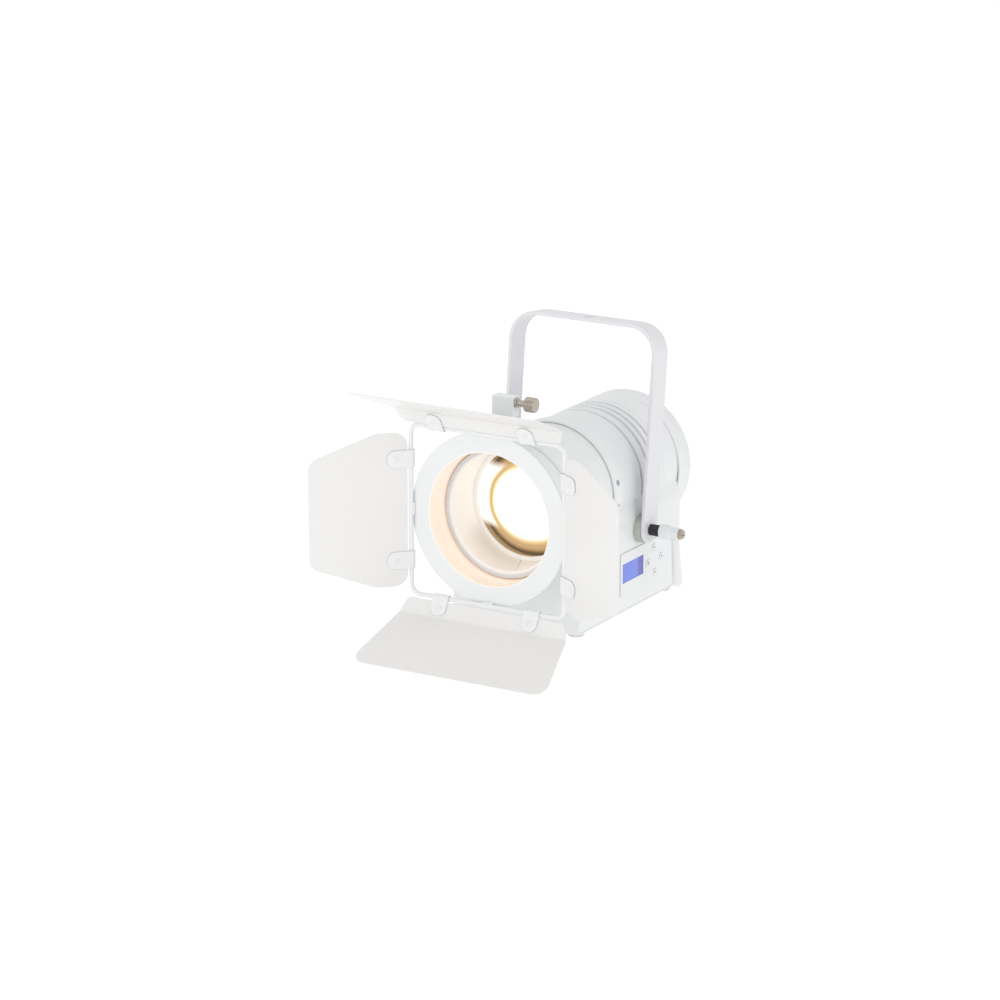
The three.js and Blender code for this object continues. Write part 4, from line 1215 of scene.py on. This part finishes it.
KNOB_START, NECK_START = 25.6, 13.3
knob_radius = (screw_high.z - screw_low.z) / 2
screw_at = (0, screw_middle.y, screw_middle.z)
thumb_shaft = turned(
    [(0, screw_low.x), (2.5, screw_low.x), (2.5, NECK_START, 0.1), (5.2, NECK_START, 0.3), (5.2, NECK_START + 2.2),
     (3.6, NECK_START + 2.6), (3.6, KNOB_START - 1, 0.8), (knob_radius - 1.4, KNOB_START - 0.4),
     (knob_radius - 1.4, KNOB_START + 0.6), (0, KNOB_START + 0.6)],
    0.2, 48, "X", screw_at,
)
thumb_knob = knurled(knob_radius, 0.35, 30, KNOB_START, screw_high.x, 0.9, "X", screw_at)
piece("latch_thumb_screw_turned", together(thumb_shaft, thumb_knob), "latch_screw", nickel,
      ["latch_thumb_screw"])

# %% [markdown]
# ## Lens
# The lens tube slides in the head for focus. Its front edge is rolled to a soft lip, and the seam of the
# rolled sheet shows inside as a thin slanted line. A ring holds the lens in it.

# %% Lens tube
lens_tube_low, lens_tube_high = head_box("lens_tube")
lens_low, lens_high = head_box("lens")
lens_ring_low, lens_ring_high = head_box("lens_ring")
TUBE_INSIDE, TUBE_OUTSIDE, TUBE_LIP, FLANGE_WIDTH, RING_INSIDE = 64.6, 69.5, 3.2, 3, 59.4


def lens_tube():
    flange, front, rear = lens_tube_high.x, lens_tube_low.y, lens_tube_high.y
    bm = turned(
        [(TUBE_INSIDE, front, TUBE_LIP), (flange, front, 0.9), (flange, front + FLANGE_WIDTH),
         (TUBE_OUTSIDE, front + FLANGE_WIDTH), (TUBE_OUTSIDE, rear), (TUBE_INSIDE, rear)],
        0.4,
        128,
    )
    seam = block((-0.3, front + 6, -TUBE_INSIDE - 2.6), (0.3, 84, -TUBE_INSIDE + 4), 0)
    slant = Matrix.Rotation(math.radians(-2), 4, "Y") @ Matrix.Translation((0, 60, 0))
    slant = slant @ Matrix.Rotation(math.radians(23), 4, "Z") @ Matrix.Translation((0, -60, 0))
    moved(seam, slant)
    return cut_out(bm, seam)


piece("lens_tube_rolled", lens_tube(), "lens_carriage", inner_paint, ["lens_tube"])
lens_ring = turned(
    [(RING_INSIDE, lens_ring_low.y, 0.8), (lens_ring_high.x, lens_ring_low.y),
     (lens_ring_high.x, lens_ring_high.y), (RING_INSIDE, lens_ring_high.y)],
    0.3,
    128,
)
piece("lens_ring_turned", lens_ring, "lens_carriage", inner_paint, ["lens_ring"])

# %% [markdown]
# The lens is flat behind and domed in front. Its dome is one vertex spun round the centre of its sphere. The
# lamp is switched on, so the lens is full of light: a white core, a brown and gold ring where the edge of the
# reflector shows, and a pale glow outside. Those rings are distances from centres on the lens, read from
# Object coordinates, so they stay in the glass.

# %% Lens shape
SPHERE_RADIUS, LENS_EDGE_FRONT = 104, 80.4


def lens_shape():
    edge_radius = lens_high.x
    aperture = RING_INSIDE - 0.6
    centre = lens_low.y + SPHERE_RADIUS
    bm = bmesh.new()
    apex = bm.verts.new((0, lens_low.y, 0))
    sweep = math.asin(aperture / SPHERE_RADIUS)
    bmesh.ops.spin(bm, geom=[apex], cent=(0, centre, 0), axis=(0, 0, 1), angle=sweep, steps=24)
    last = max(bm.verts, key=lambda vert: vert.co.x)
    for point in ((aperture, LENS_EDGE_FRONT), (edge_radius, LENS_EDGE_FRONT), (edge_radius, lens_high.y),
                  (0, lens_high.y)):
        following = bm.verts.new((*point, 0))
        bm.edges.new((last, following))
        last = following
    full_turn(bm, 128)
    return bm


# %% Light in the lens
def glowing_glass():
    material, tree, shader = new_finish("glowing_glass")
    white, pale, cream = (1.0, 1.0, 0.98), (1.0, 0.95, 0.80), (0.98, 0.86, 0.56)
    gold, tan, brown, dark = (0.80, 0.58, 0.27), (0.52, 0.33, 0.15), (0.28, 0.16, 0.055), (0.05, 0.028, 0.006)
    wobble = noise(tree, 30, 2)
    from_core = ellipse_distance(tree, (12, 3), 47, 44)
    shaken = two_numbers(tree, "ADD", from_core, between(tree, wobble, -0.03, 0.03))
    reach = between_numbers(tree, shaken, 0, 1.6)
    sides = ramp(
        tree,
        reach,
        [(0, white), (0.53, white), (0.57, pale), (0.595, cream), (0.615, gold), (0.645, tan), (0.67, gold),
         (0.70, pale), (0.73, white), (1, pale)],
    )
    ends = ramp(
        tree,
        reach,
        [(0, white), (0.52, white), (0.565, pale), (0.61, gold), (0.67, tan), (0.72, tan), (0.77, brown),
         (0.81, dark), (0.848, dark), (0.868, brown), (1, brown)],
    )
    towards_ends = between_numbers(tree, ellipse_distance(tree, (0, 6), 1e6, 1), 29, 37)
    light = two_colours(tree, towards_ends, sides, ends)
    feed(shader, {
        "Emission Color": light,
        "Emission Strength": 1.08,
        "Base Color": two_colours(tree, wobble, (0.03, 0.02, 0.01), (0.05, 0.035, 0.02)),
        "Roughness": between(tree, wobble, 0.03, 0.06),
    })
    return material


piece("lens_glass", lens_shape(), "lens_carriage", glowing_glass(), ["lens"])

# %% Focus knob
SHANK_RADIUS = 3.4
knob_spot = (0, middle("focus_knob").y, middle("focus_knob").z)
focus_grip = knurled((knob_high.z - knob_low.z) / 2, 0.5, 20, knob_low.x, -79.4, 1.0, "X", knob_spot)
focus_shank = turned(
    [(0, -80), (SHANK_RADIUS, -80), (SHANK_RADIUS, knob_high.x), (0, knob_high.x)], 0.3, 32, "X", knob_spot
)
focus_collar = turned([(0, -79.6), (6, -79.6), (6, -77.6), (0, -77.6)], 0.3, 48, "X", knob_spot)
piece("focus_knob_moulded", together(focus_grip, focus_shank, focus_collar), "focus_knob", black_plastic,
      ["focus_knob"])

# %% [markdown]
# ## Yoke and clamp
# The yoke is one strip of steel bent into a U. Its section is a rectangle of edges, which is pushed up one
# arm, round a corner, across and down again. The four edges across the arms' ends are beveled so far that the
# ends become half round. A clearance hole for the clamp bolt goes through the middle of the crossbar.

# %% Yoke strip
YOKE_THICKNESS, YOKE_STRIP, YOKE_CORNER = 4, 30, 32
BOLT_HOLE_RADIUS = 6.5
_, yoke_high = head_box("yoke_bracket")
YOKE_HALF = yoke_high.x
YOKE_REACH = (YOKE.inverted() @ Vector(hang_point["pos_m"])).z


def yoke_strip():
    bm = bmesh.new()
    bottom = -YOKE_STRIP / 2
    outline(bm, rectangle(-YOKE_HALF, -YOKE_HALF + YOKE_THICKNESS, bottom, -bottom), 1)
    bmesh.ops.translate(bm, vec=(0, 0, bottom), verts=bm.verts[:])
    rise = YOKE_REACH - YOKE_CORNER - bottom
    middle_radius = YOKE_CORNER - YOKE_THICKNESS / 2
    bent_bar(
        bm,
        bm.edges[:],
        (-YOKE_HALF + YOKE_THICKNESS / 2, 0, bottom),
        (0, 0, 1),
        [rise, (middle_radius, 90, (0, 1, 0)), 2 * (YOKE_HALF - YOKE_CORNER), (middle_radius, 90, (0, 1, 0)), rise],
    )
    close_ends(bm)
    bmesh.ops.recalc_face_normals(bm, faces=bm.faces[:])
    ends = [
        edge
        for edge in bm.edges
        if all(vert.co.z < bottom + 0.01 for vert in edge.verts)
        and abs(edge.verts[0].co.y - edge.verts[1].co.y) < 0.01
    ]
    bevel(bm, ends, YOKE_STRIP / 2 - 0.05, 14)
    soften(bm, 0.7, 3)
    hole = turned(
        [(0, YOKE_REACH - 10), (BOLT_HOLE_RADIUS, YOKE_REACH - 10), (BOLT_HOLE_RADIUS, YOKE_REACH + 10),
         (0, YOKE_REACH + 10)],
        0, 64, "Z",
    )
    return cut_out(bm, hole)


piece("yoke_strip", yoke_strip(), "yoke", yoke_paint, ["yoke_bracket"], YOKE)

# %% [markdown]
# On the left a hexagon bolt and its washer hold the yoke. On the right the clamp lever does: behind it sits a
# ribbed black spacer, then the white hub of the lever, and a slotted screw with its washer closes the row.

# %% Left bolt
bolt_low, bolt_high = head_box("left_pivot_bolt")
SHANK, BOLT_HEAD_RADIUS, BOLT_HEAD_HEIGHT, WASHER = 4, 7.5, 4.2, 1.2


def left_bolt():
    head_start = bolt_low.x
    bm = bmesh.new()
    bmesh.ops.create_circle(bm, cap_ends=True, radius=BOLT_HEAD_RADIUS, segments=6)
    thicken(bm, BOLT_HEAD_HEIGHT)
    soften(bm, 0.5, 3)
    along_x = Matrix.Translation((head_start, 0, 0)) @ Matrix.Rotation(math.pi / 2, 4, "Y")
    moved(bm, along_x)
    washer_start = head_start + BOLT_HEAD_HEIGHT
    washer = turned(
        [(0, washer_start), (7.6, washer_start), (7.6, washer_start + WASHER), (SHANK, washer_start + WASHER),
         (SHANK, bolt_high.x), (0, bolt_high.x)],
        0.2, 48, "X",
    )
    return together(bm, washer)


piece("left_pivot_bolt_plated", left_bolt(), "yoke", nickel, ["left_pivot_bolt"], YOKE)

# %% Spacer, lever and clamp screw
spacer_low, spacer_high = head_box("clamp_spacer")
lever_low, _ = head_box("clamp_lever")
clamp_low, clamp_high = head_box("clamp_screw")
spacer_radius = (spacer_high.z - spacer_low.z) / 2
ribs = knurled(spacer_radius, 0.45, 14, spacer_low.x, spacer_high.x, 0.4)


def pivot_bore():
    return turned([(0, 60), (PIVOT_BORE, 60), (PIVOT_BORE, 140), (0, 140)], 0, 32, "X")


spacer = cut_out(ribs, pivot_bore())
piece("clamp_spacer_ribbed", spacer, "yoke", black_plastic, ["clamp_spacer"], YOKE)
HUB_START, HUB_END, HUB_RADIUS = spacer_high.x + 0.3, 127, 8
ARM_TOP_RADIUS, ARM_TIP_RADIUS, ARM_TIP_OFFSET = 3.8, 5.8, 4


def clamp_lever():
    pivot_z = PIVOT_IN_HEAD.z
    length = pivot_z - lever_low.z
    hub = turned(
        [(PIVOT_BORE, HUB_START), (HUB_RADIUS, HUB_START, 0.6), (HUB_RADIUS, HUB_START + 12),
         (6.6, HUB_START + 12.8), (6.6, HUB_END, 0.8), (PIVOT_BORE, HUB_END)],
        0.3, 64, "X",
    )
    straight = length - ARM_TIP_RADIUS
    tip = straight + ARM_TIP_RADIUS
    arm = turned([(0, 4), (ARM_TOP_RADIUS, 4), (ARM_TIP_RADIUS, tip, 5.4), (0, tip)], 0.2, 48, "Y")
    hang = Matrix.Translation((HUB_END - 6, 0, 0)) @ Matrix.Rotation(-math.pi / 2, 4, "X")
    lean = Matrix.Rotation(-math.atan(ARM_TIP_OFFSET / straight), 4, "Y")
    moved(arm, lean @ hang)
    return cut_out(cut_out(hub, arm, "UNION"), pivot_bore())


piece("clamp_lever_cast", clamp_lever(), "clamp_lever", white_paint, ["clamp_lever"], PIVOT)


def clamp_screw():
    start = HUB_END + 0.3
    end = clamp_high.x
    bm = turned(
        [(0, clamp_low.x), (SHANK, clamp_low.x), (SHANK, start, 0.1), (6, start, 0.2), (6, start + 1.3, 0.2),
         (5, start + 1.4, 0.1), (5, end - 0.8, 0.5), (3, end), (0, end)],
        0.2, 64, "X",
    )
    return cut_out(bm, block((end - 1.6, -7, -0.7), (end + 2, 7, 0.7), 0))


piece("clamp_screw_slotted", clamp_screw(), "clamp_lever", nickel, ["clamp_screw"], PIVOT)
for side in ("left", "right"):
    node = f"pivot_disc_{side}"
    low, high = head_box(node)
    radius = (high.z - low.z) / 2
    disc = turned([(4.4, low.x), (radius, low.x), (radius, high.x), (4.4, high.x)], 0.5, 96, "X")
    piece(f"{node}_rubber", disc, "head", friction_rubber, [node], PIVOT)

# %% [markdown]
# ## Barn doors
# A turned ring clips into the holder. A square frame of round wire is welded to its face, and four leaves of
# thin sheet fold about the sides of that square. The frame is a circle of edges bent round four corners until
# it meets itself.

# %% Ring and wire
COLLAR_RADIUS, RING_THICKNESS, RING_GROOVE = 78.8, 3, 75.6
ring_top = head_box("barn_ring")[1]
door_ring = turned(
    [(TUBE_BORE, 0), (ring_top.x, 0, 0.9), (ring_top.x, RING_THICKNESS, 0.9), (COLLAR_RADIUS, RING_THICKNESS),
     (COLLAR_RADIUS, GROOVE_FRONT, 0.2), (RING_GROOVE, GROOVE_FRONT, 0.2), (RING_GROOVE, GROOVE_REAR, 0.2),
     (COLLAR_RADIUS, GROOVE_REAR, 0.2), (COLLAR_RADIUS, ring_top.y), (COLLAR_RADIUS - 2, ring_top.y + 1.9),
     (TUBE_BORE, ring_top.y + 1.9)],
    0.4,
    160,
)
piece("barn_ring_spun", door_ring, "barn_doors", ring_paint_painted_glow, ["barn_ring"])
wire_low, wire_high = head_box("wire_frame")
WIRE_RADIUS = (wire_high.y - wire_low.y) / 2
WIRE_Y = (wire_high.y + wire_low.y) / 2
WIRE_HALF, WIRE_CORNER = wire_high.x - WIRE_RADIUS, 11


def wire_square():
    bm = bmesh.new()
    side = 2 * (WIRE_HALF - WIRE_CORNER)
    start = (-WIRE_HALF + WIRE_CORNER, WIRE_Y, -WIRE_HALF)
    loop = round_loop(bm, WIRE_RADIUS, start, (1, 0, 0), 20)
    corner = (WIRE_CORNER, 90, (0, -1, 0))
    bent_bar(bm, loop, start, (1, 0, 0), [side, corner] * 4)
    return bm


piece("wire_frame_bent", wire_square(), "barn_doors", white_paint, ["wire_frame"])
welds = []
for number in range(4):
    weld = block((-7, WIRE_Y - 0.4, WIRE_HALF - 3.6), (7, 0.4, WIRE_HALF - 0.6), 1.2, 4)
    moved(weld, Matrix.Rotation(math.pi / 2 * number, 4, "Y"))
    welds.append(weld)
piece("wire_welds", together(*welds), "barn_doors", white_paint)

# %% [markdown]
# A leaf has a frame of its own: X along its rod, Y away from the rod, Z towards the beam. A leaf is drawn flat
# as one or two faces, its corners are rounded, its fold is turned up and beveled, and a Solidify and a Bevel
# modifier make sheet metal of it.

# %% Leaf frames
OPEN_ANGLES = {"left": 45, "right": 60, "top": 62, "bottom": 66}
SIDES = {"left": (-1, 0, 0), "right": (1, 0, 0), "top": (0, 0, 1), "bottom": (0, 0, -1)}
SHEET, CLIP_WIDTH, CLIP_BORE, CLIP_SPACING = 1.2, 19, 2.9, 56
LEAF_MIDDLE = 2.0
LEAF_ROOT = CLIP_BORE + SHEET + 0.4


def leaf_frame(name):
    angle = math.radians(OPEN_ANGLES[name])
    outwards, forwards = Vector(SIDES[name]), Vector((0, -1, 0))
    away = outwards * math.sin(angle) + forwards * math.cos(angle)
    inward = forwards * math.sin(angle) - outwards * math.cos(angle)
    turn = Matrix((away.cross(inward), away, inward)).transposed().to_4x4()
    rod = Vector(JOINTS[f"leaf_{name}_hinge"]["pos_m"])
    return Matrix.Translation(rod) @ turn @ Matrix.Scale(MM, 4)


def sheet_metal(name, bm, body, node, place, thickness=SHEET, finish=None):
    """A piece made of one thin surface: the sheet gets its thickness and its softened edges from modifiers."""
    made = piece(name, bm, body, finish or door_paint, [node], place)
    made.modifiers.clear()
    solid = made.modifiers.new("sheet", "SOLIDIFY")
    solid.thickness = thickness * MM
    solid.offset = 0
    rounding = made.modifiers.new("edge", "BEVEL")
    rounding.width = thickness * 0.3 * MM
    rounding.segments = 2
    rounding.limit_method = "ANGLE"
    rounding.angle_limit = math.radians(60)
    weighted = made.modifiers.new("flat faces stay flat", "WEIGHTED_NORMAL")
    weighted.keep_sharp = True
    return made


# %% Side leaves
SIDE_LENGTH, SIDE_ROOT_HALF, SIDE_STRAIGHT, SIDE_TIP_HALF = 112.4, 85, 40, 58.5


def side_leaf():
    bm = bmesh.new()
    right = [(SIDE_ROOT_HALF, LEAF_ROOT, 15), (SIDE_ROOT_HALF, SIDE_STRAIGHT, 4), (SIDE_TIP_HALF, SIDE_LENGTH, 9)]
    corners = right + [(-x, y, rounding) for x, y, rounding in reversed(right)]
    verts = [bm.verts.new((x, y, LEAF_MIDDLE)) for x, y, _ in corners]
    bm.faces.new(verts)
    for vert, (_, _, rounding) in zip(verts, corners):
        bevel(bm, [vert], rounding, 10, "VERTICES")
    return bm


# %% Top and bottom leaves
STRIP_LENGTH, PLATE_LENGTH, FOLD_DEGREES = 22.5, 84, 40
WIDE_ROOT_HALF, WIDE_FOLD_HALF, WIDE_TIP_HALF = 96, 103, 120


def wide_leaf():
    bm = bmesh.new()
    rows = [(WIDE_ROOT_HALF, LEAF_ROOT), (WIDE_FOLD_HALF, STRIP_LENGTH), (WIDE_TIP_HALF, STRIP_LENGTH + PLATE_LENGTH)]
    left, right = ([bm.verts.new((side * x, y, LEAF_MIDDLE)) for x, y in rows] for side in (-1, 1))
    for i in range(2):
        bm.faces.new((left[i], right[i], right[i + 1], left[i + 1]))
    for vert, rounding in ((left[0], 5), (right[0], 5), (left[2], 18), (right[2], 18)):
        bevel(bm, [vert], rounding, 12, "VERTICES")
    outer = [vert for vert in bm.verts if vert.co.y > STRIP_LENGTH + 0.1]
    bmesh.ops.rotate(
        bm,
        cent=(0, STRIP_LENGTH, LEAF_MIDDLE),
        matrix=Matrix.Rotation(math.radians(FOLD_DEGREES), 3, "X"),
        verts=outer,
    )
    fold = [edge for edge in bm.edges if len(edge.link_faces) == 2]
    bevel(bm, fold, 2.2, 6)
    return bm


# %% [markdown]
# Each leaf hangs from two clips. A clip starts as one edge across its width, spun most of the way round the
# wire and then pushed out along the leaf. A hollow rivet with a rolled rim fastens its rounded end.

# %% Clips and rivets
CLIP_WRAP, CLIP_START = 230, 320


def clip(u, length):
    bm = bmesh.new()
    radius = CLIP_BORE + SHEET / 2
    angle = math.radians(CLIP_START)
    ends = [
        bm.verts.new((u + side * CLIP_WIDTH / 2, radius * math.cos(angle), radius * math.sin(angle)))
        for side in (-1, 1)
    ]
    edge = bm.edges.new(ends)
    wrapped = bmesh.ops.spin(
        bm, geom=[*ends, edge], cent=(0, 0, 0), axis=(-1, 0, 0), angle=math.radians(CLIP_WRAP), steps=20
    )
    last = kind_of(wrapped["geom_last"], BMEdge)
    grown = bmesh.ops.extrude_edge_only(bm, edges=last)["geom"]
    tips = kind_of(grown, BMVert)
    bmesh.ops.translate(bm, vec=(0, length, 0), verts=tips)
    bevel(bm, tips, CLIP_WIDTH * 0.46, 10, "VERTICES")
    return bm


def rivet(u, v):
    top = CLIP_BORE + SHEET
    under = LEAF_MIDDLE - SHEET / 2
    return turned(
        [(0, under), (2.6, under, 0.2), (2.6, under - 0.7, 0.4), (0, under - 0.7)], 0.2, 40, "Z", (u, v, 0)
    ), turned(
        [(0, top + 0.4), (1.3, top + 0.4, 0.2), (1.5, top + 1.1, 0.3), (3.2, top + 0.6, 0.4), (3.4, top - 0.2, 0.1),
         (0, top - 0.2)],
        0.2, 40, "Z", (u, v, 0),
    )


for name, make_leaf in (("left", side_leaf), ("right", side_leaf), ("top", wide_leaf), ("bottom", wide_leaf)):
    place, body = leaf_frame(name), f"leaf_{name}"
    reach = 27 if make_leaf is side_leaf else 20
    sheet_metal(f"leaf_{name}_sheet", make_leaf(), body, f"leaf_{name}", place)
    heads = []
    for letter, u in (("a", -CLIP_SPACING), ("b", CLIP_SPACING)):
        sheet_metal(f"leaf_{name}_clip_{letter}_bent", clip(u, reach), body, f"leaf_{name}_clip_{letter}", place,
                    finish=white_paint)
        heads += rivet(u, reach - CLIP_WIDTH * 0.46)
    piece(f"leaf_{name}_rivets", together(*heads), body, white_paint, (), place)

# %% [markdown]
# ## Inner parts
# The parts inside are seen only through slots and behind the lens. Their CAD shapes are right as they are, so
# they stay and only get their finishes.

# %% Finishes of the inner parts
INNER_FINISHES = {
    "led_emitter": emitter_glow,
    "led_board": bare_aluminium,
    "heat_sink": bare_aluminium,
    "light_cone": bare_aluminium,
    "power_supply": steel,
    "control_board": board_green,
    "display_module": black_plastic,
}
for node, finish in INNER_FINISHES.items():
    mesh = frame["nodes"][node].data
    mesh.materials.clear()
    mesh.materials.append(finish)
